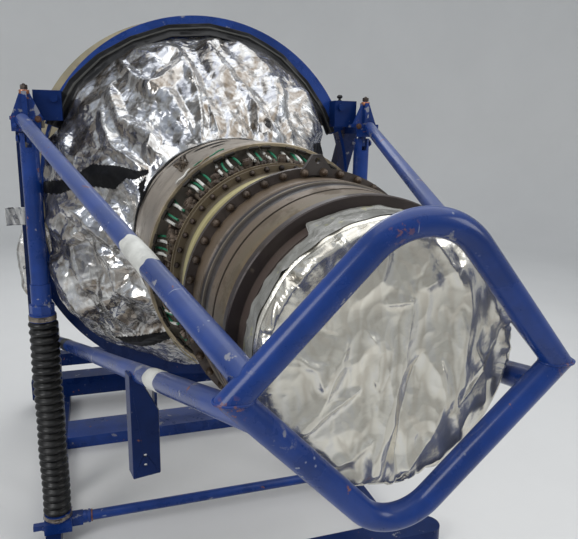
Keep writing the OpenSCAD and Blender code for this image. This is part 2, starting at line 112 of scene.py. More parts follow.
class TurbineFoil(bpy.types.PropertyGroup):
    """Colours and folds of the foil bags."""

    bright: colour_prop("Bright foil", "Foil where it turns to the light", (0.68, 0.675, 0.66))
    dim: colour_prop("Dim foil", "Foil where it turns away", (0.25, 0.235, 0.22))
    fold: length_prop("Fold height", "Largest folds of the duct foil", 0.017, 0.004, 0.03)
    end_fold: length_prop("End fold height", "Largest folds of the exhaust foil", 0.0045, 0.001, 0.008)


class TurbineHardware(bpy.types.PropertyGroup):
    """Counts of the bolts and of the bellows' folds."""

    large_bolts: count_prop("Large flange bolts", "Bolts round the large flange", 40, 24, 48)
    case_bolts: count_prop("Combustor flange bolts", "Bolts round the combustor flange", 45, 30, 54)
    folds: count_prop("Bellows folds", "Folds in each bellows", 27, 20, 32)


# ---------------------------------------------------------------- node helpers


def join(tree, value, socket):
    """Links a socket to another one, or gives it a value of its own."""
    if isinstance(value, bpy.types.NodeSocket):
        tree.links.new(value, socket)
    else:
        socket.default_value = value


def put(tree, kind, sockets=None, **settings):
    """Places one shader node, sets or links its sockets, and returns it."""
    node = tree.nodes.new("ShaderNode" + kind)
    for key, value in settings.items():
        setattr(node, key, value)
    for key, value in (sockets or {}).items():
        join(tree, value, node.inputs[key])
    return node


def rgba(colour):
    """Colour with full opacity."""
    return (colour[0], colour[1], colour[2], 1.0)


def shaded(colour, share, lift=0.0):
    """Colour at a share of its strength, lifted a little."""
    return [min(1.0, c * share + lift) for c in colour]


def mix_colour(tree, mask, below, above):
    """Colour above over colour below, where the mask says."""
    node = put(tree, "Mix", data_type="RGBA")
    join(tree, mask, node.inputs[0])
    for index, colour in ((6, below), (7, above)):
        is_socket = isinstance(colour, bpy.types.NodeSocket)
        join(tree, colour if is_socket else rgba(colour), node.inputs[index])
    return node.outputs[2]


def mathed(tree, operation, first, second):
    """Result of one sum or product of two values."""
    return put(tree, "Math", {0: first, 1: second}, operation=operation).outputs[0]


def plus(tree, first, second):
    return mathed(tree, "ADD", first, second)


def minus(tree, first, second):
    return mathed(tree, "SUBTRACT", first, second)


def times(tree, first, second):
    return mathed(tree, "MULTIPLY", first, second)


def larger(tree, first, second):
    return mathed(tree, "MAXIMUM", first, second)


def remap(tree, value, low, high, to_low=0.0, to_high=1.0):
    """Value from one span of numbers to another, held at the ends."""
    sockets = {"Value": value, "From Min": low, "From Max": high, "To Min": to_low, "To Max": to_high}
    return put(tree, "MapRange", sockets).outputs["Result"]


def soft_step(tree, value, low, high):
    """Soft step from 0 to 1 between two levels."""
    sockets = {"Value": value, "From Min": low, "From Max": high}
    return put(tree, "MapRange", sockets, interpolation_type="SMOOTHSTEP").outputs["Result"]


def clouds(tree, where, scale, detail, roughness=0.5):
    """Uneven soft noise from 0 to 1."""
    sockets = {"Vector": where, "Scale": scale, "Detail": detail, "Roughness": roughness}
    return put(tree, "TexNoise", sockets).outputs["Fac"]


def vector_math(tree, operation, sockets):
    """Outputs of one step with vectors."""
    return put(tree, "VectorMath", sockets, operation=operation).outputs


def ramp(tree, fac, stops):
    """Colour ramp over stops of place and colour."""
    node = put(tree, "ValToRGB", {"Fac": fac})
    elements = node.color_ramp.elements
    while len(elements) < len(stops):
        elements.new(0.5)
    for element, (place, colour) in zip(elements, stops):
        element.position = place
        element.color = rgba(colour)
    return node.outputs["Color"]


def new_group(name, inputs, outputs):
    """Empty node group with its sockets. Each input is a name, a kind and a default."""
    group = bpy.data.node_groups.new(name, "ShaderNodeTree")
    for label, kind, value in inputs:
        socket = group.interface.new_socket(label, in_out="INPUT", socket_type="NodeSocket" + kind)
        if value is not None:
            socket.default_value = value
    for label, kind in outputs:
        group.interface.new_socket(label, in_out="OUTPUT", socket_type="NodeSocket" + kind)
    source = group.nodes.new("NodeGroupInput")
    sink = group.nodes.new("NodeGroupOutput")
    return group, source.outputs, sink.inputs


WHERE = ("Vector", "Vector", None)


def build_blotch():
    """Soft patches of uneven size, for stains and worn places."""
    group, given, result = new_group(
        "Blotch",
        [WHERE, ("Scale", "Float", 4.0), ("Cover", "Float", 0.5), ("Softness", "Float", 0.1)],
        [("Mask", "Float")],
    )
    cloud = clouds(group, given["Vector"], given["Scale"], 7.0, 0.62)
    level = minus(group, 1.0, given["Cover"])
    low = minus(group, level, given["Softness"])
    high = plus(group, level, given["Softness"])
    spread = remap(group, cloud, 0.28, 0.72)
    group.links.new(soft_step(group, spread, low, high), result["Mask"])
    return group


def build_scuffs():
    """Thin scratches and specks in two directions."""
    group, given, result = new_group(
        "Scuffs", [WHERE, ("Scale", "Float", 12.0), ("Amount", "Float", 0.3)], [("Mask", "Float")]
    )
    total = None
    for turn, stretch in (((0.3, 0.2, 0.9), (1.0, 14.0, 1.0)), ((1.1, 0.4, 0.2), (16.0, 1.0, 1.4))):
        mapped = put(group, "Mapping", {"Vector": given["Vector"], "Rotation": turn, "Scale": stretch})
        cloud = clouds(group, mapped.outputs[0], given["Scale"], 3.0)
        edge = minus(group, 0.86, times(group, given["Amount"], 0.25))
        thin = remap(group, cloud, minus(group, edge, 0.03), edge)
        total = thin if total is None else larger(group, total, thin)
    fine = {"Vector": given["Vector"], "Scale": times(group, given["Scale"], 6.0)}
    specks = put(group, "TexVoronoi", fine).outputs["Distance"]
    dots = remap(group, specks, 0.13, 0.08)
    few = remap(group, clouds(group, given["Vector"], given["Scale"], 2.0), 0.60, 0.68)
    group.links.new(larger(group, total, times(group, dots, few)), result["Mask"])
    return group


def build_dust():
    """Dust that settles on what faces up. The paint also uses it for a painted sheen of light on its upper
    sides.
    """
    group, given, result = new_group(
        "Dust",
        [WHERE, ("Up", "Float", 0.0), ("Amount", "Float", 0.5), ("Scale", "Float", 9.0)],
        [("Mask", "Float")],
    )
    facing = soft_step(group, given["Up"], 0.25, 1.0)
    uneven = remap(group, clouds(group, given["Vector"], given["Scale"], 6.0, 0.6), 0.3, 0.7, 0.55, 1.0)
    group.links.new(times(group, times(group, facing, uneven), given["Amount"]), result["Mask"])
    return group


def build_grain():
    """Fine grain for bump and for small changes in gloss."""
    group, given, result = new_group("Grain", [WHERE, ("Scale", "Float", 300.0)], [("Height", "Float")])
    group.links.new(clouds(group, given["Vector"], given["Scale"], 3.0, 0.6), result["Height"])
    return group


def build_crackle():
    """Flat facets of creased sheet: how far each one tips the surface, and a painted shade for each, lighter
    where the facet tips towards one fixed direction.
    """
    group, given, result = new_group(
        "Crackle",
        [WHERE, ("Scale", "Float", 30.0), ("Stretch", "Vector", (1.0, 1.0, 1.0))],
        [("Tip", "Vector"), ("Facet shade", "Float")],
    )
    bend = put(group, "TexNoise", {"Vector": given["Vector"], "Scale": 7.0, "Detail": 2.0}).outputs["Color"]
    pushed = vector_math(group, "SCALE", {0: bend, "Scale": 0.10})[0]
    warped = vector_math(group, "ADD", {0: given["Vector"], 1: pushed})[0]
    drawn = vector_math(group, "MULTIPLY", {0: warped, 1: given["Stretch"]})[0]
    tip, tone = None, None
    for finer, share in ((1.0, 1.0), (2.9, 0.6)):
        size = times(group, given["Scale"], finer)
        cells = put(group, "TexVoronoi", {"Vector": drawn, "Scale": size}, feature="F1").outputs["Color"]
        centred = vector_math(group, "SUBTRACT", {0: cells, 1: (0.5, 0.5, 0.5)})[0]
        weighed = vector_math(group, "SCALE", {0: centred, "Scale": share})[0]
        # Painted shade: each facet is lighter the more its tip leans towards one fixed direction.
        shade = vector_math(group, "DOT_PRODUCT", {0: centred, 1: (0.5, 0.25, 0.9)})["Value"]
        part = times(group, shade, share)
        tip = weighed if tip is None else vector_math(group, "ADD", {0: tip, 1: weighed})[0]
        tone = part if tone is None else plus(group, tone, part)
    group.links.new(tip, result["Tip"])
    group.links.new(tone, result["Facet shade"])
    return group


GROUP_BUILDERS = {
    "Blotch": build_blotch,
    "Scuffs": build_scuffs,
    "Dust": build_dust,
    "Grain": build_grain,
    "Crackle": build_crackle,
}


def effect(tree, name, **sockets):
    """Outputs of one of the shared effects, with its own values."""
    group = bpy.data.node_groups.get(name) or GROUP_BUILDERS[name]()
    node = tree.nodes.new("ShaderNodeGroup")
    node.node_tree = group
    for key, value in sockets.items():
        join(tree, value, node.inputs[key])
    return node.outputs


def blotches(tree, where, scale, cover, softness):
    """Mask of stains or worn places."""
    return effect(tree, "Blotch", Vector=where, Scale=scale, Cover=cover, Softness=softness)["Mask"]


def scuffs(tree, where, scale, amount):
    """Mask of scratches and specks."""
    return effect(tree, "Scuffs", Vector=where, Scale=scale, Amount=amount)["Mask"]


def dust(tree, where, amount, scale):
    """Mask of dust on what faces up, which the paint also uses for a painted sheen on its upper sides."""
    split = put(tree, "SeparateXYZ", {0: put(tree, "NewGeometry").outputs["Normal"]})
    return effect(tree, "Dust", Vector=where, Up=split.outputs["Z"], Amount=amount, Scale=scale)["Mask"]


def grain(tree, where, scale):
    """Height of fine grain."""
    return effect(tree, "Grain", Vector=where, Scale=scale)["Height"]


def start_finish(name):
    """New material with its node tree, its shader and the object's own coordinates."""
    material = bpy.data.materials.new(name)
    material.use_nodes = True
    tree = material.node_tree
    shader = tree.nodes["Principled BSDF"]
    where = put(tree, "TexCoord").outputs["Object"]
    return material, tree, shader, where


def tipped(tree, tip, amount):
    """Surface direction tipped from facet to facet."""
    scaled = vector_math(tree, "SCALE", {0: tip, "Scale": amount})[0]
    flat = put(tree, "NewGeometry").outputs["Normal"]
    summed = vector_math(tree, "ADD", {0: flat, 1: scaled})[0]
    return vector_math(tree, "NORMALIZE", {0: summed})[0]


def bumped(tree, shader, height, strength, distance, normal=None):
    """Bump of a height in metres on the shader, over a surface direction where one is given."""
    sockets = {"Height": height, "Strength": strength, "Distance": distance}
    if normal is not None:
        sockets["Normal"] = normal
    node = put(tree, "Bump", sockets)
    tree.links.new(node.outputs["Normal"], shader.inputs["Normal"])


# ---------------------------------------------------------------- finishes

SCRATCH_GREY = (0.42, 0.45, 0.50)
BARED_STEEL = (0.30, 0.30, 0.31)
RUST = (0.26, 0.10, 0.035)


def near(tree, where, spots):
    """Mask of the places close to any of some spots, each x, y, z and reach."""
    total = None
    for x, y, z, reach in spots:
        gap = vector_math(tree, "DISTANCE", {0: where, 1: (x, y, z)})["Value"]
        part = remap(tree, gap, reach, reach * 0.35)
        total = part if total is None else larger(tree, total, part)
    return total


def make_paint(name, colour, chalk_and_sheen, dust_and_sheen_amount, chips, gloss=0.25, rusty=(), rubbed=()):
    """Gloss paint with upper sides paled by dust and by a painted sheen of light, scuffs, stains and rust, and
    its own rusty and rubbed spots.
    """
    material, tree, shader, where = start_finish(name)
    cloud = blotches(tree, where, 5.0, 0.5, 0.35)
    base = mix_colour(tree, cloud, shaded(colour, 0.62), colour)
    # Dust on upper sides, which also paints the pale sheen that light gives them.
    dust_and_sheen = dust(tree, where, dust_and_sheen_amount, 11.0)
    base = mix_colour(tree, dust_and_sheen, base, chalk_and_sheen)
    scuff = scuffs(tree, where, 9.0, 0.32)
    base = mix_colour(tree, times(tree, scuff, 0.55), base, SCRATCH_GREY)
    worn = blotches(tree, where, 17.0, chips, 0.03)
    if rubbed:
        patch = blotches(tree, where, 75.0, 0.33, 0.06)
        worn = larger(tree, worn, times(tree, patch, near(tree, where, rubbed)))
    base = mix_colour(tree, times(tree, worn, 0.7), base, BARED_STEEL)
    rust = blotches(tree, where, 26.0, chips * 0.55, 0.03)
    if rusty:
        patch = blotches(tree, where, 120.0, 0.36, 0.06)
        rust = larger(tree, rust, times(tree, patch, near(tree, where, rusty)))
    base = mix_colour(tree, times(tree, rust, 0.75), base, RUST)
    tree.links.new(base, shader.inputs["Base Color"])
    rough = plus(tree, times(tree, dust_and_sheen, 0.30), times(tree, cloud, 0.10))
    rough = plus(tree, rough, times(tree, larger(tree, scuff, rust), 0.3))
    tree.links.new(plus(tree, rough, 0.24), shader.inputs["Roughness"])
    coat = minus(tree, gloss * 0.8, times(tree, dust_and_sheen, gloss * 0.4))
    tree.links.new(coat, shader.inputs["Coat Weight"])
    shader.inputs["Specular IOR Level"].default_value = gloss
    shader.inputs["Coat Roughness"].default_value = 0.10
    peel = times(tree, grain(tree, where, 170.0), 0.35)
    bumped(tree, shader, minus(tree, peel, worn), 0.25, 0.0006)
    return material


def make_metal(name, bright, dark, rough, streaks=0.5, turned=0.0, metallic=0.85, stops=None):
    """Bare or heat tinted metal with stains. Turned parts carry fine rings along the engine axis, and stops
    give tints along it."""
    material, tree, shader, where = start_finish(name)
    cloud = blotches(tree, where, 7.0, 0.5, 0.4)
    base = mix_colour(tree, cloud, dark, bright)
    if stops:
        split = put(tree, "SeparateXYZ", {0: where})
        first, last = stops[0][0], stops[-1][0]
        place = remap(tree, split.outputs["Y"], first, last)
        banded = ramp(tree, place, [((y - first) / (last - first), c) for y, c in stops])
        base = mix_colour(tree, times(tree, cloud, 0.10), banded, bright)
    stain = blotches(tree, where, 19.0, 0.34, 0.15)
    base = mix_colour(tree, times(tree, stain, streaks), base, shaded(dark, 0.5))
    fleck = scuffs(tree, where, 14.0, 0.3)
    base = mix_colour(tree, times(tree, fleck, 0.4), base, shaded(bright, 1.7, 0.05))
    tree.links.new(base, shader.inputs["Base Color"])
    shader.inputs["Metallic"].default_value = metallic
    tree.links.new(remap(tree, stain, 0, 1, rough, min(1, rough + 0.22)), shader.inputs["Roughness"])
    height = grain(tree, where, 420.0)
    if turned:
        squeezed = put(tree, "Mapping", {"Vector": where, "Scale": (3.0, 220.0, 3.0)})
        height = plus(tree, height, times(tree, clouds(tree, squeezed.outputs[0], 1.0, 3.0), turned))
    bumped(tree, shader, height, 0.3, 0.0005)
    return material


def make_foil(name, bright, dim, rough, tint, facets, stretch=(1.0, 1.0, 1.0), scale=24.0, metallic=0.93):
    """Metal film with painted reflections. The tone attribute gives painted light and shade that follow the
    facets of the folds, crackle adds painted shade for the small ones, and the hue attribute gives warm and
    cool painted reflections.
    """
    material, tree, shader, where = start_finish(name)
    tone = put(tree, "Attribute", attribute_name="tone").outputs["Fac"]
    hue = put(tree, "Attribute", attribute_name="hue").outputs["Fac"]
    crackle = effect(tree, "Crackle", Vector=where, Scale=scale, Stretch=stretch)
    tone = plus(tree, tone, times(tree, crackle["Facet shade"], facets))
    middle = [a * 0.45 + b * 0.55 for a, b in zip(bright, dim)]
    # The top of the ramp is a near-white painted highlight.
    stops = ((0.0, shaded(dim, 0.28)), (0.26, dim), (0.52, middle), (0.80, bright), (1.0, (0.96, 0.96, 0.95)))
    base = ramp(tree, tone, stops)
    # Warm and cool tints by the hue attribute are painted reflections of coloured surroundings.
    warm = mix_colour(tree, remap(tree, hue, 0.66, 0.95, 0.0, tint), base, (0.30, 0.22, 0.14))
    cool_reflection = mix_colour(tree, remap(tree, hue, 0.30, 0.08, 0.0, tint * 0.6), warm, (0.42, 0.50, 0.70))
    tree.links.new(cool_reflection, shader.inputs["Base Color"])
    shader.inputs["Metallic"].default_value = metallic
    shader.inputs["Roughness"].default_value = rough
    bumped(tree, shader, grain(tree, where, 120.0), 0.25, 0.002, tipped(tree, crackle["Tip"], facets * 0.9))
    return material


def make_tape(name, colour, rough, crease, weave=0.0, gloss=0.5, tinge=None):
    """Adhesive tape with creases, a slight sheen and dirt."""
    material, tree, shader, where = start_finish(name)
    crackle = effect(tree, "Crackle", Vector=where, Scale=26.0)
    cloud = blotches(tree, where, 14.0, 0.5, 0.3)
    base = mix_colour(tree, cloud, shaded(colour, 0.72), colour)
    dirt = blotches(tree, where, 40.0, 0.2, 0.1)
    base = mix_colour(tree, times(tree, dirt, 0.5), base, shaded(colour, 0.55, 0.006))
    if tinge:
        streak = blotches(tree, where, 30.0, 0.22, 0.05)
        base = mix_colour(tree, times(tree, streak, 0.6), base, tinge)
    tree.links.new(base, shader.inputs["Base Color"])
    shader.inputs["Roughness"].default_value = rough
    shader.inputs["Specular IOR Level"].default_value = gloss
    height = grain(tree, where, 90.0)
    if weave:
        mesh = put(tree, "TexWave", {"Vector": where, "Scale": 160.0}, bands_direction="DIAGONAL")
        height = plus(tree, height, times(tree, mesh.outputs["Fac"], weave))
    bumped(tree, shader, height, 0.3, 0.002, tipped(tree, crackle["Tip"], crease))
    return material


def make_rubber(name):
    """Black rubber with grey dust in its folds."""
    material, tree, shader, where = start_finish(name)
    cloud = blotches(tree, where, 12.0, 0.5, 0.3)
    base = mix_colour(tree, cloud, (0.004, 0.004, 0.004), (0.009, 0.009, 0.009))
    base = mix_colour(tree, dust(tree, where, 0.05, 20.0), base, (0.16, 0.15, 0.14))
    tree.links.new(base, shader.inputs["Base Color"])
    shader.inputs["Specular IOR Level"].default_value = 0.4
    tree.links.new(remap(tree, cloud, 0, 1, 0.30, 0.42), shader.inputs["Roughness"])
    bumped(tree, shader, grain(tree, where, 600.0), 0.25, 0.0004)
    return material


def make_enamel(name, colour):
    """Coloured sleeve of a small tube, with grime."""
    material, tree, shader, where = start_finish(name)
    grime = blotches(tree, where, 60.0, 0.30, 0.15)
    base = mix_colour(tree, times(tree, grime, 0.75), colour, shaded(colour, 0.25))
    tree.links.new(base, shader.inputs["Base Color"])
    tree.links.new(remap(tree, grime, 0, 1, 0.3, 0.7), shader.inputs["Roughness"])
    bumped(tree, shader, grain(tree, where, 500.0), 0.2, 0.0003)
    return material


def make_floor(name, colour):
    """Pale matt floor with soft unevenness."""
    material, tree, shader, where = start_finish(name)
    base = mix_colour(tree, blotches(tree, where, 0.7, 0.5, 0.45), shaded(colour, 0.96), colour)
    tree.links.new(base, shader.inputs["Base Color"])
    shader.inputs["Roughness"].default_value = 0.7
    return material


def bands(rows):
    """Row places and colours of tints, from stations and colours."""
    return sorted((station(s), colour) for s, colour in rows)


def recess_bands():
    """Tints along the recess, with painted shade under the rim and beside the combustor flange."""
    dark, warm = (0.018, 0.014, 0.011), (0.170, 0.138, 0.105)
    return bands([(0.860, dark), (0.900, dark), (0.908, warm), (0.938, warm), (0.947, dark), (0.966, dark)])


def combustor_bands():
    """Tints along the combustor case, which is golden in its middle, with a painted shadow just behind the
    flange's face.
    """
    brown, edge = (0.140, 0.108, 0.072), (0.46, 0.37, 0.22)
    golden, pale = (0.440, 0.380, 0.175), (0.62, 0.56, 0.29)
    shadow, warm, line = (0.105, 0.082, 0.056), (0.125, 0.100, 0.066), (0.070, 0.056, 0.036)
    return bands([
        (0.9640, edge), (0.9662, edge), (0.9672, brown), (0.984, brown), (0.986, shadow), (1.022, warm),
        (1.025, line), (1.030, golden), (1.052, pale), (1.064, golden), (1.158, golden), (1.168, brown),
    ])


def turbine_bands():
    """Heat tints along the turbine and exhaust cases."""
    brown, slate = (0.142, 0.104, 0.070), (0.030, 0.027, 0.030)
    edge, groove = (0.20, 0.165, 0.12), (0.006, 0.005, 0.005)
    olive, stain = (0.130, 0.104, 0.066), (0.185, 0.118, 0.050)
    rear, purple = (0.034, 0.025, 0.024), (0.078, 0.056, 0.048)
    return bands([
        (1.183, brown), (1.243, brown), (1.2465, slate), (1.2685, slate), (1.2700, edge), (1.2745, edge),
        (1.2765, slate), (1.298, slate), (1.304, brown), (1.332, brown), (1.3338, groove), (1.3385, groove),
        (1.3400, brown), (1.370, olive), (1.398, stain), (1.4105, olive), (1.4130, rear), (1.4335, rear),
        (1.4365, purple), (1.4550, purple), (1.4562, groove), (1.4592, groove), (1.4610, purple),
        (1.492, purple),
    ])


def blue(share=1.0):
    """Blue of the tubes, or a darker share of it."""
    return shaded(bpy.context.scene.turbine_paint.blue, share)


# Painted shade: the darker copy of the blue.
def dark_blue():
    return bpy.context.scene.turbine_paint.dark_blue


# Pale blue of dust and of painted sheen on upper sides.
def chalk_and_sheen():
    return bpy.context.scene.turbine_paint.chalk_and_sheen


def bright_foil():
    return bpy.context.scene.turbine_foil.bright


def dim_foil():
    return bpy.context.scene.turbine_foil.dim


# Rusty and rubbed spots of the tubes, each x, y, z and reach
GUARD_RUST = ((-0.051, -1.460, 1.468, 0.036), (-0.268, -1.415, 1.232, 0.026), (0.262, -1.415, 1.236, 0.018))
GUARD_RUBBED = ((-0.249, -1.420, 1.295, 0.018), (-0.189, -1.420, 1.184, 0.026), (0.080, -1.440, 1.030, 0.024))
BRACE_RUBBED = ((0.594, -0.022, 1.584, 0.055), (-0.549, -0.226, 1.538, 0.026), (-0.563, 0.241, 0.769, 0.030))

# Each finish is its maker and that maker's values after the name. A function stands for a colour that the
# panel can change.
FINISHES = {
    "Blue paint": (make_paint, blue, chalk_and_sheen, 0.10, 0.15),
    "Guard paint": (make_paint, blue, chalk_and_sheen, 0.08, 0.12, 0.24, GUARD_RUST, GUARD_RUBBED),
    "Worn blue paint": (make_paint, blue, chalk_and_sheen, 0.46, 0.17, 0.30, (), BRACE_RUBBED),
    "Scuffed head paint": (make_paint, lambda: blue(0.75), (0.10, 0.12, 0.19), 0.50, 0.30, 0.2),
    # Darker copies of the blue for the base, the brackets and the rear legs: painted shade.
    "Dark blue paint": (make_paint, dark_blue, (0.045, 0.065, 0.14), 0.16, 0.14, 0.10),
    "Bracket paint": (make_paint, dark_blue, (0.030, 0.065, 0.20), 0.3, 0.12, 0.08),
    "Olive case": (make_metal, (0.40, 0.35, 0.24), (0.28, 0.25, 0.17), 0.45, 0.3, 0.0, 0.15),
    "Core case": (make_metal, (0.350, 0.300, 0.245), (0.245, 0.212, 0.174), 0.46, 0.4, 0.5, 0.30),
    "Heat tinted case": (
        make_metal, (0.15, 0.115, 0.08), (0.09, 0.07, 0.05), 0.44, 0.35, 0.8, 0.28, turbine_bands()
    ),
    "Golden case": (
        make_metal, (0.24, 0.20, 0.10), (0.16, 0.135, 0.07), 0.42, 0.30, 0.6, 0.40, combustor_bands()
    ),
    "Recess metal": (
        make_metal, (0.12, 0.095, 0.070), (0.040, 0.030, 0.023), 0.5, 0.6, 0.0, 0.3, recess_bands()
    ),
    # Near-black, for the slots under the core's rim: painted shade.
    "Slot metal": (make_metal, (0.030, 0.023, 0.018), (0.010, 0.008, 0.006), 0.5, 0.6, 0.0, 0.4),
    "Dark flange": (make_metal, (0.100, 0.080, 0.070), (0.055, 0.043, 0.038), 0.45, 0.4, 0.4, 0.4),
    "Lug steel": (make_metal, (0.085, 0.074, 0.068), (0.045, 0.039, 0.036), 0.42, 0.5, 0.0, 0.5),
    "Dark bolt steel": (make_metal, (0.070, 0.050, 0.038), (0.022, 0.016, 0.013), 0.38, 0.5, 0.0, 0.6),
    "Brown steel": (make_metal, (0.110, 0.078, 0.054), (0.045, 0.032, 0.023), 0.42, 0.6, 0.0, 0.5),
    "Brown pipe": (make_metal, (0.170, 0.130, 0.090), (0.050, 0.037, 0.026), 0.45, 0.6, 0.0, 0.4),
    "Bare steel": (make_metal, (0.36, 0.31, 0.26), (0.18, 0.155, 0.13), 0.32, 0.5, 0.0, 0.9),
    "Rusty steel": (make_metal, (0.20, 0.085, 0.040), (0.06, 0.028, 0.018), 0.6, 0.6, 0.0, 0.3),
    "Copper spacer": (make_metal, (0.46, 0.20, 0.11), (0.26, 0.11, 0.06), 0.38, 0.5, 0.0, 0.7),
    "Bright rim": (make_metal, (0.40, 0.33, 0.22), (0.20, 0.16, 0.11), 0.35, 0.6, 0.0, 0.6),
    "Strap webbing": (make_tape, (0.26, 0.22, 0.11), 0.5, 0.25, 0.6),
    "Foil film": (make_foil, bright_foil, dim_foil, 0.20, 0.38, 0.36, (1.0, 1.0, 0.7), 30.0, 0.88),
    "End foil film": (
        make_foil, (0.87, 0.835, 0.735), (0.42, 0.40, 0.355), 0.25, 0.18, 0.09, (1.0, 1.0, 0.5), 13.0, 0.84
    ),
    "Tag foil": (make_foil, (0.80, 0.80, 0.79), (0.30, 0.30, 0.30), 0.22, 0.1, 0.10),
    "Black tape": (make_tape, (0.007, 0.007, 0.008), 0.36, 0.16, 0.0, 0.35),
    "Dull black tape": (make_tape, (0.005, 0.005, 0.006), 0.50, 0.12, 0.0, 0.12),
    "Grey tape": (make_tape, (0.235, 0.232, 0.210), 0.28, 0.26, 0.1, 0.5, (0.34, 0.33, 0.16)),
    "White tape": (make_tape, (0.62, 0.62, 0.58), 0.48, 0.03),
    "Dark band": (make_tape, (0.055, 0.055, 0.05), 0.48, 0.03),
    "Bellows rubber": (make_rubber,),
    "White tube": (make_enamel, (0.66, 0.65, 0.60)),
    "Green tube": (make_enamel, (0.025, 0.19, 0.10)),
    "Floor": (make_floor, (0.78, 0.775, 0.76)),
}


def finish(name):
    """Material of that name, made when first asked for."""
    if name in bpy.data.materials:
        return bpy.data.materials[name]
    maker, *values = FINISHES[name]
    return maker(name, *[value() if callable(value) else value for value in values])


# ---------------------------------------------------------------- mesh helpers


class Maker:
    """Collects the faces of one piece."""

    def __init__(self):
        self.points = []
        self.faces = []

    def add(self, points, faces):
        """More points, with faces that count from the first of them."""
        start = len(self.points)
        self.points.extend(tuple(p) for p in points)
        self.faces.extend(tuple(start + i for i in f) for f in faces)

    def loft(self, rings, closed=True, capped=False):
        """Skin over rings of points with the same count."""
        rings = np.asarray(rings, float)
        rows, count = rings.shape[:2]
        start = len(self.points)
        self.points.extend(map(tuple, rings.reshape(-1, 3)))
        last = count if closed else count - 1
        for j in range(rows - 1):
            for i in range(last):
                k = (i + 1) % count
                a, b = start + j * count, start + (j + 1) * count
                self.faces.append((a + i, a + k, b + k, b + i))
        if capped:
            self.faces.append(tuple(start + i for i in range(count))[::-1])
            self.faces.append(tuple(start + (rows - 1) * count + i for i in range(count)))

    def lathe(self, profile, centre, axis, sides=48, capped=False):
        """Turned form from pairs of radius and height along an axis."""
        across, up, along = basis(axis)
        angles = turns(sides)
        rings = [
            [Vector(centre) + along * h + across * (r * math.cos(a)) + up * (r * math.sin(a)) for a in angles]
            for r, h in profile
        ]
        self.loft(rings, True, capped)

    def bolt(self, base, axis, radius, height, washer=0.0):
        """Hexagon head with a chamfered crown, on a washer."""
        if washer:
            ring = [(0, 0), (washer, 0), (washer, height * 0.18), (radius * 0.7, height * 0.2)]
            self.lathe(ring, base, axis, 16)
        head = [(radius, 0.15 * height), (radius, 0.85 * height), (radius * 0.86, height), (0.0, height)]
        self.lathe(head, base, axis, 6)

    def dome(self, base, axis, radius, height, sides=14):
        """Domed cap of a nut."""
        profile = [(radius * math.cos(t), height * math.sin(t)) for t in np.linspace(0, 1.5, 6)]
        self.lathe(profile + [(0.0, height)], base, axis, sides)

    def plate(self, outline, holes, thick, place):
        """Flat plate with holes. The given function turns across, up and depth into a row point."""
        shell = bmesh.new()
        edges, loops = [], []
        for loop in [outline, *holes]:
            verts = [shell.verts.new((a, b, 0)) for a, b in loop]
            loops.append((len(shell.verts) - len(verts), len(verts)))
            edges += [shell.edges.new((verts[i - 1], verts[i])) for i in range(len(verts))]
        bmesh.ops.triangle_fill(shell, use_beauty=True, use_dissolve=False, edges=edges)
        shell.verts.index_update()
        count = len(shell.verts)
        points = [place(v.co.x, v.co.y, d) for d in (0, thick) for v in shell.verts]
        faces = [tuple(v.index for v in f.verts) for f in shell.faces]
        faces += [tuple(count + i for i in f)[::-1] for f in faces]
        for start, size in loops:
            for i in range(size):
                a, b = start + i, start + (i + 1) % size
                faces.append((a, b, count + b, count + a))
        shell.free()
        self.add(points, faces)

    def tube(self, path, radius, sides=10):
        """Round bar along a line of points."""
        path = [Vector(p) for p in path]
        across = None
        rings = []
        for i, point in enumerate(path):
            along = (path[min(i + 1, len(path) - 1)] - path[max(i - 1, 0)]).normalized()
            across = along.orthogonal() if across is None else across - along * across.dot(along)
            across.normalize()
            up = along.cross(across)
            size = radius[i] if hasattr(radius, "__len__") else radius
            rings.append([point + (across * math.cos(a) + up * math.sin(a)) * size for a in turns(sides)])
        self.loft(rings, True, True)

    def box(self, low, high, edge=0.002):
        """Box with bevelled edges."""
        low, high = Vector(low), Vector(high)
        rings = []
        for z, inset in ((low.z, edge), (low.z + edge, 0), (high.z - edge, 0), (high.z, edge)):
            x0, x1, y0, y1 = low.x + inset, high.x - inset, low.y + inset, high.y - inset
            rings.append(
                [
                    (x0 + edge, y0, z), (x1 - edge, y0, z), (x1, y0 + edge, z), (x1, y1 - edge, z),
                    (x1 - edge, y1, z), (x0 + edge, y1, z), (x0, y1 - edge, z), (x0, y0 + edge, z),
                ]
            )
        self.loft(rings, True, True)

    def piece(self, name, material, slot, sharp=35):
        """Named piece of the collected faces, with its finish. The slot is not used. Edges over the sharp
        angle stay hard."""
        mesh = bpy.data.meshes.new(name)
        mesh.from_pydata(self.points, [], self.faces)
        mesh.validate()
        shell = bmesh.new()
        shell.from_mesh(mesh)
        bmesh.ops.recalc_face_normals(shell, faces=shell.faces)
        shell.to_mesh(mesh)
        shell.free()
        mesh.shade_smooth()
        mesh.set_sharp_from_angle(angle=math.radians(sharp))
        mesh.materials.append(finish(material))
        obj = bpy.data.objects.new(name, mesh)
        bpy.context.scene.collection.objects.link(obj)
        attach(obj, "root")
        return obj


def turns(count):
    """Even angles once round."""
    return np.arange(count) * 2 * math.pi / count


def basis(axis):
    """Two directions across an axis, and the axis itself."""
    along = Vector(axis).normalized()
    across = along.orthogonal().normalized()
    return across, along.cross(across), along


def smooth(value, low, high):
    """Soft step from 0 to 1 between two values."""
    t = np.clip((np.asarray(value, float) - low) / (high - low), 0, 1)
    return t * t * (3 - 2 * t)


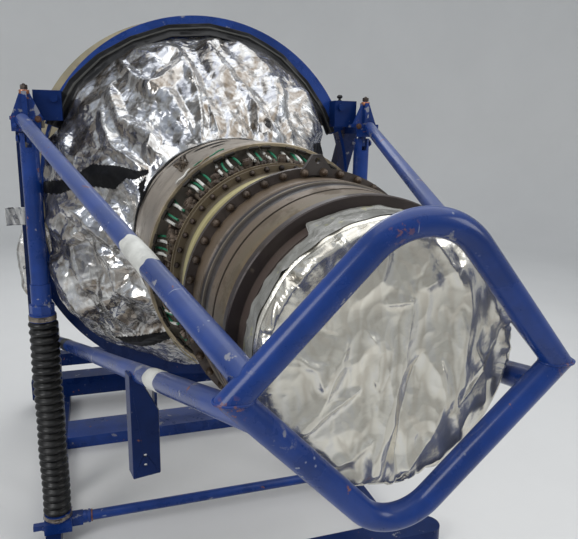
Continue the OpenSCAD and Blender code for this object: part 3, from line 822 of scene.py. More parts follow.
def crests(points, scales, seed):
    """Heights with sharp crests over soft hollows at each point. Each scale is a pull along x, y and z and a
    height."""
    total = np.zeros(len(points))
    for number, (pull, height) in enumerate(scales):
        shift = Vector((seed + 3.1 * number, seed * 1.7, seed * 0.3))
        drawn = points * np.array(pull)
        values = np.array([noise.noise(Vector(p) + shift) for p in drawn])
        total += height * (0.45 - 2.0 * np.abs(values))
    return total


def pleats(points, scales, seed):
    """Heights of flat facets with straight creases between them at each point. Each scale is a pull along
    x, y and z and a height."""
    total = np.zeros(len(points))
    turn = Matrix.Rotation(0.6, 3, "X") @ Matrix.Rotation(0.9, 3, "Z")
    for number, (pull, height) in enumerate(scales):
        shift = Vector((seed + 3.1 * number, seed * 1.7, seed * 0.3))
        drawn = points * np.array(pull)
        reach = [noise.voronoi(turn @ Vector(p) + shift, distance_metric="CHEBYCHEV")[0][0] for p in drawn]
        total += height * (2.0 * np.array(reach) - 0.7)
    return total


def crumple(u, v, period, seed, families):
    """Folds of a thin sheet over flat places u and v in metres. Each family is a count, a half width, a half
    length, a height, a heading in radians and its spread."""
    rng = np.random.default_rng(seed)
    total = np.zeros_like(u)
    low, high = v.min(), v.max()
    for count, width, length, height, heading, spread in families:
        for _ in range(count):
            cu, cv = rng.uniform(0, period), rng.uniform(low, high)
            turn = heading + rng.uniform(-spread, spread)
            w, l = width * rng.uniform(0.6, 1.4), length * rng.uniform(0.6, 1.4)
            a = height * rng.uniform(0.5, 1.2) * (1 if rng.random() < 0.6 else -1)
            du = (u - cu + period / 2) % period - period / 2
            dv = v - cv
            along = du * math.cos(turn) + dv * math.sin(turn)
            side = -du * math.sin(turn) + dv * math.cos(turn)
            skew = side + along * rng.uniform(-0.25, 0.25)
            total += a * np.clip(1 - np.abs(skew) / w, 0, None) * np.clip(1 - np.abs(along) / l, 0, None)
    return total


def line_gap(points, line):
    """Distance of flat points from a line of corners, signed by side, and how far along each one lies."""
    best = np.full(len(points), 1e9)
    side = np.zeros(len(points))
    travel = np.zeros(len(points))
    corners = np.asarray(line, float)
    lengths = np.linalg.norm(np.diff(corners, axis=0), axis=1)
    start = 0.0
    for a, b, length in zip(corners[:-1], corners[1:], lengths):
        way = (b - a) / length
        rel = points - a
        t = np.clip(rel @ way, 0, length)
        gap = np.linalg.norm(rel - t[:, None] * way, axis=1)
        nearer = gap < best
        best = np.where(nearer, gap, best)
        side = np.where(nearer, np.sign(rel[:, 0] * way[1] - rel[:, 1] * way[0]), side)
        travel = np.where(nearer, (start + t) / lengths.sum(), travel)
        start += length
    return best, side, travel


def drawn_folds(pixels, folds, power=1.0):
    """Heights of folds that run along lines of the photograph. Each is a line, a height, and the widths of
    its two sides in pixels. A power above 1 gives softer feet."""
    total = np.zeros(len(pixels))
    for line, height, left, right in folds:
        gap, side, travel = line_gap(pixels, line)
        swell = 0.35 + 0.65 * np.sqrt(np.clip(np.sin(math.pi * travel), 0, 1))
        width = np.where(side < 0, left, right) * swell * power
        fade = np.clip(np.minimum(travel, 1 - travel) * 6 + 0.25, 0, 1)
        total += height * np.clip(1 - gap / width, 0, None) ** power * fade
    return total


def grid_normals(points, closed):
    """Unit normals of a grid of points, rows by columns."""
    if closed:
        du = np.roll(points, -1, 1) - np.roll(points, 1, 1)
    else:
        du = np.gradient(points, axis=1)
    dv = np.gradient(points, axis=0)
    n = np.cross(du, dv)
    return n / np.maximum(np.linalg.norm(n, axis=2, keepdims=True), 1e-9)


def painted_facet_reflection(normals, seed, spread, base, shade):
    """Painted reflection of thin film for each vertex: a tone and a hue by which way its facet turns, lighter
    where it faces up, plus the given painted shade.
    """
    flat = normals.reshape(-1, 3)
    rng = np.random.default_rng(seed)
    tone = np.full(len(flat), float(base))
    # Painted reflection: the tone rises and falls with each facet's turn towards a few fixed directions.
    for weight, reach in ((0.12, 4.0), (0.20, 9.0), (0.22, 17.0)):
        heading = rng.normal(size=3)
        heading /= np.linalg.norm(heading)
        tone += spread * weight * np.sin(flat @ heading * reach + rng.uniform(0, 6.28))
    # Facets that face up are painted lighter.
    tone += spread * 0.06 * flat[:, 2]
    # The hue tints each facet by its turn, a painted reflection of coloured surroundings.
    hue = 0.5 + 0.45 * np.sin(flat @ rng.normal(size=3) * 5.0 + 1.0)
    return np.clip(tone + np.broadcast_to(shade, normals.shape[:2]).reshape(-1), 0, 1), hue


def facing(normals, row, axis, sign=1):
    """The normals, turned over if the first one of a row points against the sign along an axis."""
    return -normals if normals[row, 0, axis] * sign < 0 else normals


def thicken(obj, thickness, offset=-1):
    """Gives a thin strip its thickness."""
    layer = obj.modifiers.new("Thickness", "SOLIDIFY")
    layer.thickness = thickness
    layer.offset = offset


def mark(obj, name, values):
    """Writes one value for each vertex."""
    attribute = obj.data.attributes.new(name, "FLOAT", "POINT")
    attribute.data.foreach_set("value", np.asarray(values, np.float32))


# ---------------------------------------------------------------- camera


def camera_axes():
    """Right, up and back directions of the camera."""
    yaw, pitch, roll = CAMERA_TURN
    ahead = Vector((math.sin(yaw) * math.cos(pitch), math.cos(yaw) * math.cos(pitch), -math.sin(pitch)))
    right = Vector((math.cos(yaw), -math.sin(yaw), 0))
    down = ahead.cross(right)
    c, s = math.cos(roll), math.sin(roll)
    return right * c + down * s, right * s - down * c, -ahead


def picture_place(points):
    """Pixels of the photograph at which row points show."""
    right, up, back = (np.array(a) for a in camera_axes())
    rel = np.asarray(points, float) - np.array(CAMERA_PLACE)
    depth = rel @ -back
    across = PICTURE[0] / 2 + CAMERA_REACH * (rel @ right) / depth
    down = PICTURE[1] / 2 - CAMERA_REACH * (rel @ up) / depth
    return np.stack([across, down], 1)


def inside(points, outline):
    """Which flat points lie inside a closed outline."""
    x, y = points[:, 0], points[:, 1]
    hit = np.zeros(len(points), bool)
    for (x0, y0), (x1, y1) in zip(outline, outline[1:] + outline[:1]):
        if y0 == y1:
            continue
        crosses = (y0 > y) != (y1 > y)
        hit ^= crosses & (x < (x1 - x0) * (y - y0) / (y1 - y0) + x0)
    return hit


# ---------------------------------------------------------------- operators


class TURBINE_OT_paint_stand(bpy.types.Operator):
    """Paint the stand and finish the bare metal of the engine"""

    bl_idname = "turbine.paint_stand"
    bl_label = "Paint stand and engine"

    # Nodes of each finish, by name, or by the start of the name where that ends with an underscore
    NODE_FINISHES = {
        "Blue paint": ("arch", "strut_", "foot_", "tie_rod", "middle_beam"),
        "Guard paint": ("guard_",),
        "Worn blue paint": ("brace_", "side_tube_"),
        "Scuffed head paint": ("head_",),
        # These parts get the darker blue: painted shade.
        "Dark blue paint": (
            "cradle", "arch_bracket_", "post_", "bracket_", "rail_", "front_beam", "rear_", "upper_beam",
        ),
        "Olive case": ("fan_case",),
        "Core case": ("duct_case", "core_case"),
        "Lug steel": ("lifting_lug",),
        "Golden case": ("combustor_case",),
        "Dark flange": ("large_flange",),
        "Recess metal": ("recess_body",),
        "Heat tinted case": ("turbine_case", "exhaust_case"),
        "White tube": ("stub_tubes_white",),
        "Green tube": ("stub_tubes_green",),
        "Bellows rubber": ("bellows_",),
        "Foil film": ("duct_bag", "intake_bag", "exhaust_bag"),
    }

    def execute(self, context):
        for material, starts in self.NODE_FINISHES.items():
            for name, node in NODES.items():
                if any(name == s or (s.endswith("_") and name.startswith(s)) for s in starts):
                    node.data.materials.clear()
                    node.data.materials.append(finish(material))
        for name, node in NODES.items():
            if not node.data.materials or node.data.materials[0] is None:
                raise RuntimeError(f"{name} has no finish")
        return {"FINISHED"}


class TURBINE_OT_duct_foil(bpy.types.Operator):
    """Drape the crumpled foil from the arch to the core, with its patches of black tape"""

    bl_idname = "turbine.duct_foil"
    bl_label = "Duct foil"

    COLUMNS = 620
    ROWS = 152
    # Station of the inner edge, mean radius and depth of the sheet, its cut length, and the lift of its tapes
    EDGE_S = 0.487
    MEAN_R = 0.44
    DEPTH = 0.56
    CUT = 2.95
    TAPE_LIFT = 0.0016
    # Lines of the photograph that the large folds follow, their heights, and their widths in pixels
    FOLDS = (
        (((222, 37), (207, 48), (222, 72), (238, 94), (262, 122), (282, 138)), 0.0255, 15, 9),
        (((225, 38), (250, 58), (266, 76), (272, 100), (277, 124)), 0.0225, 8, 16),
        (((158, 52), (177, 55), (188, 76), (199, 100), (202, 138)), 0.0270, 16, 10),
        (((146, 98), (163, 84), (184, 70), (199, 90)), 0.0195, 9, 12),
        (((103, 107), (110, 132), (118, 151), (148, 171)), 0.0210, 12, 9),
        (((92, 81), (74, 96), (59, 112), (63, 156)), 0.0195, 9, 12),
        (((111, 88), (122, 122), (140, 132), (155, 141), (151, 163)), 0.0240, 13, 9),
        (((206, 100), (213, 118), (221, 138)), 0.0180, 8, 10),
        (((236, 85), (246, 98), (254, 111), (259, 138)), 0.0210, 8, 12),
        (((291, 88), (300, 98), (306, 111), (322, 142)), 0.0210, 9, 10),
        (((270, 78), (281, 107), (292, 142)), 0.0195, 8, 9),
        (((120, 62), (138, 82), (170, 96), (192, 126)), 0.0180, 12, 8),
        (((54, 250), (62, 272), (71, 291), (91, 321), (121, 336), (164, 331)), 0.0270, 12, 16),
        (((52, 214), (64, 230), (76, 238), (91, 226)), 0.0210, 9, 12),
        (((76, 222), (78, 244), (82, 265), (91, 294)), 0.0270, 10, 14),
        (((99, 241), (108, 256), (117, 271), (121, 287), (151, 298)), 0.0255, 12, 9),
        (((104, 276), (108, 292), (112, 308), (136, 326)), 0.0240, 10, 12),
        (((58, 254), (70, 276), (82, 300), (98, 318)), 0.0225, 8, 10),
        (((138, 194), (142, 214), (142, 239), (148, 282)), 0.0195, 10, 9),
        (((60, 200), (84, 212), (104, 232), (128, 246)), 0.0210, 10, 8),
        (((112, 200), (118, 222), (134, 248), (140, 270)), 0.0210, 10, 9),
    )
    PLEATS = (((6.0, 6.0, 2.6), 0.020), ((15.0, 15.0, 8.0), 0.0072), ((42.0, 42.0, 28.0), 0.0018))
    PATCHES = {
        "foil_patch_left": [
            (42, 181), (70, 178), (92, 163.5), (118, 165.5), (137, 170), (149, 168.5), (150, 174),
            (134, 181.5), (126, 179), (114.6, 190), (100, 188), (86, 187), (72, 190), (60, 195), (43, 194),
        ],
        "foil_patch_core": [
            (137.7, 184), (139.8, 204), (136.6, 215), (138.7, 232), (143, 236), (141.3, 217), (145, 188),
            (148, 174),
        ],
        "foil_patch_low": [
            (113, 336), (134, 335.5), (160, 331.5), (172, 330), (172, 338), (155, 345), (142, 346.5),
            (124, 342),
        ],
        "foil_patch_right": [(313, 143), (325, 141), (326, 150), (321, 158), (314, 155)],
    }

    def outer_edge(self, angle):
        """Distance of the foil's outer edge from the core axis at each angle."""
        deg = np.degrees(angle) % 360
        rho = np.full_like(deg, ARCH_R - 0.059)
        left = smooth(deg, 146, 156) * (1 - smooth(deg, 200, 212))
        right = 1 - smooth(np.minimum(np.abs(deg - 14), 360 - np.abs(deg - 14)), 12, 34)
        rho = rho + left * 0.038 - right * 0.056
        high = ARCH_UP * np.sin(angle) + np.sqrt(rho**2 - (ARCH_UP * np.cos(angle)) ** 2)
        low = 0.580 - 0.035 * smooth(deg, 285, 330)
        share = smooth(np.sin(angle), -0.34, -0.04)
        return low + (high - low) * share

    def execute(self, context):
        angle = turns(self.COLUMNS)
        outer = self.outer_edge(angle)
        v = np.linspace(0, 1, self.ROWS)[:, None]
        lower = smooth(-np.sin(angle), -0.2, 0.9)[None, :]
        left = smooth(-np.cos(angle), 0.0, 0.9)[None, :]
        belly = (0.012 + 0.030 * lower + 0.024 * left) * np.sin(np.pi * v**0.8)
        core = CORE_R + 0.0016
        slope = np.clip((v - 0.04) / 0.92, 0, 1)
        radius = outer[None, :] + (core - outer[None, :]) * slope + belly
        edge = self.EDGE_S + 0.012 * np.sin(angle * 7 + 1) + 0.008 * np.sin(angle * 17)
        depth = -0.02 + (edge[None, :] - 0.012 + 0.02) * slope + 0.012 * np.clip((v - 0.96) / 0.04, 0, 1)
        depth = np.where(v < 0.04, -0.026 + 0.006 * v / 0.04, depth)
        base = np.stack(
            [radius * np.cos(angle)[None, :], station(depth), AXIS_Z + radius * np.sin(angle)[None, :]], 2
        )
        span = self.MEAN_R * 2 * math.pi
        flat_u = np.broadcast_to(angle[None, :] / (2 * math.pi) * span, base.shape[:2]).copy()
        flat_v = np.broadcast_to(v * self.DEPTH, base.shape[:2]).copy()
        warp = 0.02 * np.sin(flat_u * 9 + 2 * np.sin(flat_v * 11))
        fold = context.scene.turbine_foil.fold
        upright = math.pi / 2
        height = crumple(
            flat_u + warp, flat_v, span, 11,
            [
                (26, 0.060, 0.30, fold * 0.65, upright, 0.4),
                (64, 0.024, 0.20, fold * 0.50, upright, 0.5),
                (110, 0.020, 0.095, fold * 0.30, upright, 0.9),
                (300, 0.008, 0.034, fold * 0.075, 0.0, 1.57),
            ],
        )
        drawn = drawn_folds(picture_place(base.reshape(-1, 3)), self.FOLDS).reshape(height.shape)
        hold = smooth(v, 0.03, 0.14) * (1 - smooth(v, 0.88, 0.985))
        wave = 0.03 * np.sin(flat_u * 6 + 3 * flat_v)
        round_x = self.MEAN_R * np.cos(angle)[None, :] + wave
        round_z = self.MEAN_R * np.sin(angle)[None, :] + wave
        ring = np.stack([round_x, round_z, flat_v + wave], 2)
        creases = pleats(ring.reshape(-1, 3), self.PLEATS, 4.0).reshape(height.shape)
        height = np.clip(height * 0.40 + drawn + creases, -0.03, 0.045) * (0.08 + 0.92 * hold)
        normal = facing(grid_normals(base, True), self.ROWS // 2, 0)
        points = base + normal * height[:, :, None]
        limit = 0.031 - STRUT_X
        x, y = points[:, :, 0], points[:, :, 1]
        points[:, :, 0] = np.where(y < ARCH_Y, np.maximum(x, limit), x)
        maker = Maker()
        maker.loft(points)
        foil = maker.piece("duct_foil", "Foil film", "foil_film", 180)
        turned = facing(grid_normals(points, True), self.ROWS // 2, 0)
        # Painted light and shade by place round the foil: lifted on the left, and darker over the top than
        # below.
        shade = 0.12 * left - 0.06 * np.sin(angle)[None, :] - 0.03 * lower
        tone, hue = painted_facet_reflection(turned, 5, 0.85, 0.56, shade)
        mark(foil, "tone", tone)
        # Warmer hue on the darker facets low down: a painted warm reflection.
        warmer_reflection = 0.30 * np.broadcast_to(lower, height.shape).reshape(-1) * (tone < 0.62)
        mark(foil, "hue", np.clip(hue + warmer_reflection, 0, 1))
        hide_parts("duct_bag")
        self.tape_patches(points, turned)
        self.core_edge(points, turned, angle)
        return {"FINISHED"}

    def tape_patches(self, points, normals):
        """Patches of black tape that lie on the foil's own folds."""
        rows, columns = points.shape[:2]
        pixels = picture_place(points.reshape(-1, 3))
        towards = np.array(CAMERA_PLACE) - points.reshape(-1, 3)
        seen = (normals.reshape(-1, 3) * towards).sum(1) > -0.2
        for name, outline in self.PATCHES.items():
            chosen = (inside(pixels, outline) & seen).reshape(rows, columns)
            maker = Maker()
            index = {}
            for j in range(rows - 1):
                for i in np.nonzero(chosen[j])[0]:
                    k = (i + 1) % columns
                    if chosen[j, k] and chosen[j + 1, i] and chosen[j + 1, k]:
                        corners = [(j, i), (j, k), (j + 1, k), (j + 1, i)]
                        for c in corners:
                            if c not in index:
                                index[c] = len(maker.points)
                                maker.points.append(tuple(points[c] + normals[c] * self.TAPE_LIFT))
                        maker.faces.append(tuple(index[c] for c in corners))
            if len(maker.faces) < 12:
                raise RuntimeError(f"{name} finds no foil to lie on")
            maker.piece(name, "Dull black tape", "bellows_rubber", 180)

    def core_edge(self, points, normals, angle):
        """Thin dark band along the foil's inner edge at the core: painted shade of the gap between foil and
        core, wider in places.
        """
        wide = 2.2 + 2.4 * np.clip(np.sin(angle * 5 + 0.5), 0, 1) + 0.7 * np.sin(angle * 23)
        rows = []
        column = np.arange(self.COLUMNS)
        for t in np.linspace(0, 1, 8):
            index = np.clip(self.ROWS - 1 - wide * (1 - t), 0, self.ROWS - 1)
            low = np.floor(index).astype(int)
            part = (index - low)[:, None]
            high = np.minimum(low + 1, self.ROWS - 1)
            place = points[low, column] * (1 - part) + points[high, column] * part
            rows.append(place + normals[low, column] * self.TAPE_LIFT)
        hem = rows[-1].copy()
        hem[:, 1] -= 0.006 + 0.004 * np.clip(np.sin(angle * 9), 0, 1)
        rows.append(hem)
        maker = Maker()
        maker.loft(rows)
        maker.piece("core_edge_shade_line", "Dull black tape", "bellows_rubber", 180)


class TURBINE_OT_intake_foil(bpy.types.Operator):
    """Bag the intake in foil that sags to both sides"""

    bl_idname = "turbine.intake_foil"
    bl_label = "Intake foil"

    COLUMNS = 420
    PLEATS = (((5.0, 5.0, 4.0), 0.012), ((13.0, 13.0, 10.0), 0.0060), ((38.0, 38.0, 30.0), 0.0014))
    # Height of the bag's widest place, its way round and its cut width
    WIDEST_Z = 0.960
    ROUND = 3.4
    CUT = 1.80

    def outline(self, angle):
        """Distance of the bag's edge from its centre at each angle."""
        low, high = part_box("intake_bag")
        centre = Vector((0, 0, AXIS_Z - 0.05))
        corner = (self.WIDEST_Z - low.z) / 2
        disc = high.z - FAN_Z
        circles = [(0.0, FAN_Z, disc)]
        for s in (-1, 1):
            for h in (self.WIDEST_Z, low.z + corner):
                circles.append((s * (high.x - corner - (self.WIDEST_Z - h) * 0.06), h, corner))
        dirs = np.stack([np.cos(angle), np.sin(angle)], 1)
        fan = np.linspace(0, 2 * math.pi, 720, endpoint=False)
        way = np.stack([np.cos(fan), np.sin(fan)], 1)
        support = np.max([way @ np.array([x - centre.x, z - centre.z]) + r for x, z, r in circles], axis=0)
        cosine = dirs @ way.T
        reach = np.where(cosine > 0.05, support[None, :] / np.maximum(cosine, 0.05), 9.0)
        return centre, reach.min(1)

    def execute(self, context):
        low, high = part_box("intake_bag")
        angle = turns(self.COLUMNS)
        centre, reach = self.outline(angle)
        reach = reach - 0.006
        deep = high.y - low.y
        rows = [(s, 0.004) for s in np.linspace(0.80, 0.975, 8)]
        for t in np.linspace(0.3, 1.57, 5):
            rows.append((1 - 0.03 * (1 - math.sin(t)), 0.004 + 0.012 * (1 - math.cos(t))))
        rows += [(1.0, y) for y in np.linspace(0.024, deep - 0.034, 16)]
        for t in np.linspace(0.2, 1.5, 6):
            rows.append((1 - 0.05 * (1 - math.cos(t)), deep - 0.034 + 0.026 * math.sin(t)))
        rows += [(s, deep - 0.007) for s in np.linspace(0.93, 0.012, 84)]
        scale = np.array([r[0] for r in rows])[:, None]
        back = np.array([r[1] for r in rows])[:, None]
        base = np.stack(
            [
                centre.x + scale * reach[None, :] * np.cos(angle)[None, :],
                low.y + back * np.ones_like(reach)[None, :],
                centre.z + scale * reach[None, :] * np.sin(angle)[None, :],
            ],
            2,
        )
        steps = np.linalg.norm(np.diff(base, axis=0), axis=2).mean(1)
        travel = np.concatenate([[0], np.cumsum(steps)])[:, None]
        rear = np.broadcast_to(travel > travel[28], base.shape[:2])
        across = np.where(rear, base[:, :, 0] + 1.2, angle[None, :] / (2 * math.pi) * self.ROUND)
        upward = np.where(rear, base[:, :, 2], travel + np.zeros_like(base[:, :, 0]))
        families = [
            (46, 0.060, 0.26, 0.010, math.pi / 2, 1.2),
            (150, 0.030, 0.090, 0.005, 0.0, 1.57),
            (420, 0.013, 0.036, 0.0022, 0.0, 1.57),
        ]
        height = crumple(across, upward, self.ROUND, 23, families)
        height += pleats(base.reshape(-1, 3), self.PLEATS, 7.0).reshape(height.shape)
        height = np.clip(height, -0.02, 0.0062)
        calm = smooth(scale, 0.80, 0.84) + np.zeros_like(height)
        calm = np.where(rear, 1.0, calm)
        normal = facing(grid_normals(base, True), -10, 1)
        points = base + normal * (height * calm)[:, :, None]
        points[:, :, 1] = np.maximum(points[:, :, 1], low.y + 0.002)
        maker = Maker()
        maker.loft(points)
        maker.faces.append(tuple(len(maker.points) - self.COLUMNS + i for i in range(self.COLUMNS)))
        foil = maker.piece("intake_foil", "Foil film", "foil_film", 180)
        # Painted reflection: tone and hue by which way each facet of the bag turns.
        tone, hue = painted_facet_reflection(grid_normals(points, True), 8, 1.0, 0.58, np.zeros_like(height))
        mark(foil, "tone", tone)
        mark(foil, "hue", hue)
        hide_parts("intake_bag")
        return {"FINISHED"}


class TURBINE_OT_exhaust_foil(bpy.types.Operator):
    """Stretch the foil over the exhaust end and tape its skirt with grey tape"""

    bl_idname = "turbine.exhaust_foil"
    bl_label = "Exhaust foil"

    COLUMNS = 420
    CREASES = (((7.5, 1.0, 3.6), 0.0085), ((17.0, 1.0, 9.0), 0.0042), ((40.0, 1.0, 26.0), 0.0011))
    # Radius of the skirt, radius and length of the way round it, and the cut width
    RIM = 0.2172
    ROUND_R = 0.21
    ROUND = 1.32
    CUT = 0.62
    # Lines of the photograph that the folds of the end follow, their heights, and their widths in pixels
    FOLDS = (
        (((412, 302), (401, 369), (384, 434), (366, 490)), 0.0085, 9, 12),
        (((421, 352), (408, 384), (399, 418), (396, 470)), -0.0070, 9, 8),
        (((384, 304), (412, 301)), 0.0050, 5, 9),
        (((361, 392), (330, 412), (293, 434)), 0.0060, 9, 6),
        (((347, 338), (336, 372), (326, 400), (296, 440)), 0.0055, 9, 8),
        (((462, 312), (464, 351), (455, 396), (458, 440)), 0.0065, 8, 10),
        (((503, 321), (494, 356), (472, 393), (452, 410)), -0.0060, 12, 10),
        (((418, 289), (440, 278), (464, 264)), 0.0045, 7, 8),
        (((434, 240), (448, 260), (462, 286)), 0.0040, 8, 8),
        (((431, 432), (418, 452), (402, 474)), 0.0060, 7, 9),
        (((330, 470), (352, 462), (372, 440)), 0.0055, 6, 8),
        (((310, 452), (334, 474), (352, 486)), -0.0050, 7, 7),
        (((300, 360), (318, 372), (324, 392)), 0.0040, 7, 7),
        (((476, 350), (488, 380), (484, 410)), 0.0050, 8, 7),
        (((440, 360), (444, 398), (432, 430)), 0.0045, 9, 8),
        (((366, 330), (380, 352), (376, 390)), 0.0040, 9, 8),
        (((390, 250), (380, 280), (352, 306)), 0.0035, 10, 8),
        (((470, 430), (446, 452), (420, 470)), 0.0050, 8, 8),
    )

    def execute(self, context):
        angle = turns(self.COLUMNS)
        deg = np.degrees(angle)
        rim = self.RIM
        end = station(0) - END_Y
        uncovered = smooth(deg, 119, 123) * (1 - smooth(deg, 300, 330))
        hem = 1.4660 + 0.0245 * uncovered + 0.002 * np.sin(angle * 13)
        fold_s = 1.5235 + 0.004 * np.sin(angle * 4 + 1) + 0.002 * np.sin(angle * 15)
        rows = [(rim, hem)]
        rows += [(rim, hem + (fold_s - 0.003 - hem) * t) for t in np.linspace(0.1, 1, 9)]
        rows += [(rim - 0.0062, fold_s), (rim - 0.0066, fold_s + 0.0012)]
        for t in np.linspace(0.0, 1.57, 15):
            r = rim - 0.0025 - 0.0135 * (1 - math.cos(t))
            rows.append((r, fold_s + 0.002 + (end - 0.003 - fold_s - 0.002) * math.sin(t)))
        side_rows = len(rows)
        radius = np.array([r * np.ones(self.COLUMNS) for r, _ in rows])
        place = np.array([s for _, s in rows])
        face = np.linspace(0.99, 0.004, 92)[:, None]
        radius = np.concatenate([radius, radius[-1][None, :] * face])
        crown = end - 0.003 - 0.004 * smooth(1 - face, 0.0, 0.9)
        place = np.concatenate([place, crown * np.ones(self.COLUMNS)])
        base = np.stack([radius * np.cos(angle), station(place), AXIS_Z + radius * np.sin(angle)], 2)
        on_face = np.zeros(base.shape[:2], bool)
        on_face[side_rows - 6:] = True
        across = np.where(on_face, base[:, :, 0] + 0.4, angle[None, :] * self.ROUND_R)
        along = np.where(on_face, base[:, :, 2] - AXIS_Z, place - 1.46)
        fold = context.scene.turbine_foil.end_fold
        height = crumple(
            across, along, self.ROUND, 41,
            [
                (46, 0.010, 0.090, fold * 0.34, math.pi / 2, 0.6),
                (80, 0.006, 0.040, fold * 0.20, math.pi / 2, 1.57),
                (120, 0.0040, 0.014, fold * 0.10, 0.0, 1.57),
            ],
        )
        drawn = drawn_folds(picture_place(base.reshape(-1, 3)), self.FOLDS, 1.8).reshape(height.shape)
        creases = crests(base.reshape(-1, 3), self.CREASES, 9.0).reshape(height.shape)
        inner = smooth(0.213 - radius, 0.0, 0.03)
        way_round = np.broadcast_to(angle * self.ROUND_R, place.shape)
        gathers = crumple(
            way_round, place - 1.46, self.ROUND, 52,
            [(90, 0.0060, 0.050, 0.0085, 1.1, 0.7), (170, 0.0034, 0.024, 0.0042, 1.2, 1.2)],
        )
        on_rim = (1 - inner) * (place > fold_s[None, :] + 0.002)
        gathers = (np.clip(gathers, -0.0085, 0.0034) - 0.0026) * on_rim
        height = np.clip((height + creases + drawn) * inner, -0.012, 0.0085) + gathers
        height[:side_rows] = np.minimum(height[:side_rows], 0.0012)
        height[0] = 0
        normal = facing(grid_normals(base, True), -10, 1, -1)
        points = base + normal * height[:, :, None]
        maker = Maker()
        maker.loft(points)
        maker.faces.append(tuple(len(maker.points) - self.COLUMNS + i for i in range(self.COLUMNS)))
        foil = maker.piece("exhaust_foil", "End foil film", "foil_film", 180)
        # Painted shade in the hollows of the gathers, and a little over the whole rim.
        shade = (gathers * 45 - 0.07) * on_rim
        tone, hue = painted_facet_reflection(grid_normals(points, True), 12, 0.32, 0.69, shade)
        mark(foil, "tone", tone)
        mark(foil, "hue", hue)
        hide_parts("exhaust_bag")
        self.skirt_tape(angle, hem, fold_s, uncovered)
        return {"FINISHED"}

    def skirt_tape(self, angle, hem, fold_s, uncovered):
        """Grey tape over the hem and most of the skirt, with torn edges and wrinkles."""
        t = np.linspace(0, 1, 22)[:, None]
        front = 1.4372 + 0.0345 * uncovered + 0.003 * np.sin(angle * 3 + 2) + 0.001 * np.sin(angle * 41)
        back = fold_s - 0.0045 + 0.003 * np.sin(angle * 6 + 1) + 0.0015 * np.sin(angle * 29)
        place = front[None, :] + (back - front)[None, :] * t
        wrinkle = crumple(
            np.broadcast_to(angle * self.ROUND_R, place.shape), place - 1.43, self.ROUND, 77,
            [(60, 0.009, 0.06, 0.0028, 0.9, 0.4), (110, 0.004, 0.03, 0.0013, 0.6, 1.2)],
        )
        lift = 0.0014 + np.clip(wrinkle, -0.0004, 0.0042)
        under = np.where(place < 1.4560, 0.2186, 0.2150)
        torn = np.exp(-(((np.degrees(angle) - 119) / 4.0) ** 2))[None, :] * (1 - t) ** 3 * 0.0045
        radius = np.where(place < hem[None, :], under, self.RIM) + lift + torn
        points = np.stack([radius * np.cos(angle), station(place), AXIS_Z + radius * np.sin(angle)], 2)
        maker = Maker()
        maker.loft(points)
        maker.piece("exhaust_skirt_tape", "Grey tape", "foil_film", 180)


class TURBINE_OT_arch_tape(bpy.types.Operator):
    """Run the wide black tape along the arch over the foil's edge"""

    bl_idname = "turbine.arch_tape"
    bl_label = "Arch tape"

    # Angles in degrees at which one straight strip ends and the next begins
    JOINTS = (21.0, 31.0, 44.0, 58.0, 73.0, 88.0, 103.0, 117.0, 130.0, 143.0, 159.3)
    # Share of the tape's width at which it bends over the arch's edge
    BEND = 0.38

    def execute(self, context):
        columns = 320
        deg = np.linspace(self.JOINTS[0], self.JOINTS[-1], columns)
        angle = np.radians(deg)
        sag = np.zeros(columns)
        for first, last in zip(self.JOINTS, self.JOINTS[1:]):
            half, middle = math.radians(last - first) / 2, math.radians(last + first) / 2
            strip = (deg >= first) & (deg <= last)
            sag[strip] = 1 - math.cos(half) / np.cos(angle[strip] - middle)
        left = smooth(deg, 112, 148)
        right = 1 - smooth(deg, 40, 70)
        outside = ARCH_R - 0.024 + 0.019 * left - 0.014 * right - sag * ARCH_R * 0.8
        inside_r = ARCH_R - 0.068 - 0.012 * right + 0.003 * left - sag * ARCH_R * 0.9
        bend = outside * (1 - self.BEND) + inside_r * self.BEND
        rows = []
        for t in np.linspace(0, 1, 26):
            if t < self.BEND:
                r = outside + (bend - outside) * (t / self.BEND)
            else:
                r = bend + (inside_r - bend) * ((t - self.BEND) / (1 - self.BEND))
            ridge = 0.0030 * np.exp(-(((t - self.BEND) / 0.06) ** 2))
            out = 0.0022 + 0.0010 * np.sin(angle * 19 + t * 7) + ridge
            out = out + 0.013 * smooth(t, 0.55, 1.0)
            rows.append(np.stack([r * np.cos(angle), ARCH_Y - out, FAN_Z + r * np.sin(angle)], 1))
        maker = Maker()
        maker.loft(np.array(rows), closed=False)
        tape = maker.piece("arch_tape", "Black tape", "bellows_rubber", 180)
        thicken(tape, 0.0008, 1)
        # A grey strip over the tape's bend, lighter than the black tape: a painted sheen along the crease.
        sheen = Maker()
        lines = []
        for t in (0.30, 0.34, 0.38, 0.42):
            r = outside + (bend - outside) * (t / self.BEND)
            out = 0.0062 - abs(t - 0.36) * 0.016
            level = np.full(columns, ARCH_Y - out)
            lines.append(np.stack([r * np.cos(angle), level, FAN_Z + r * np.sin(angle)], 1))
        sheen.loft(np.array(lines), closed=False)
        sheen.piece("arch_tape_sheen_line", "Dark band", "bellows_rubber", 180)
        return {"FINISHED"}


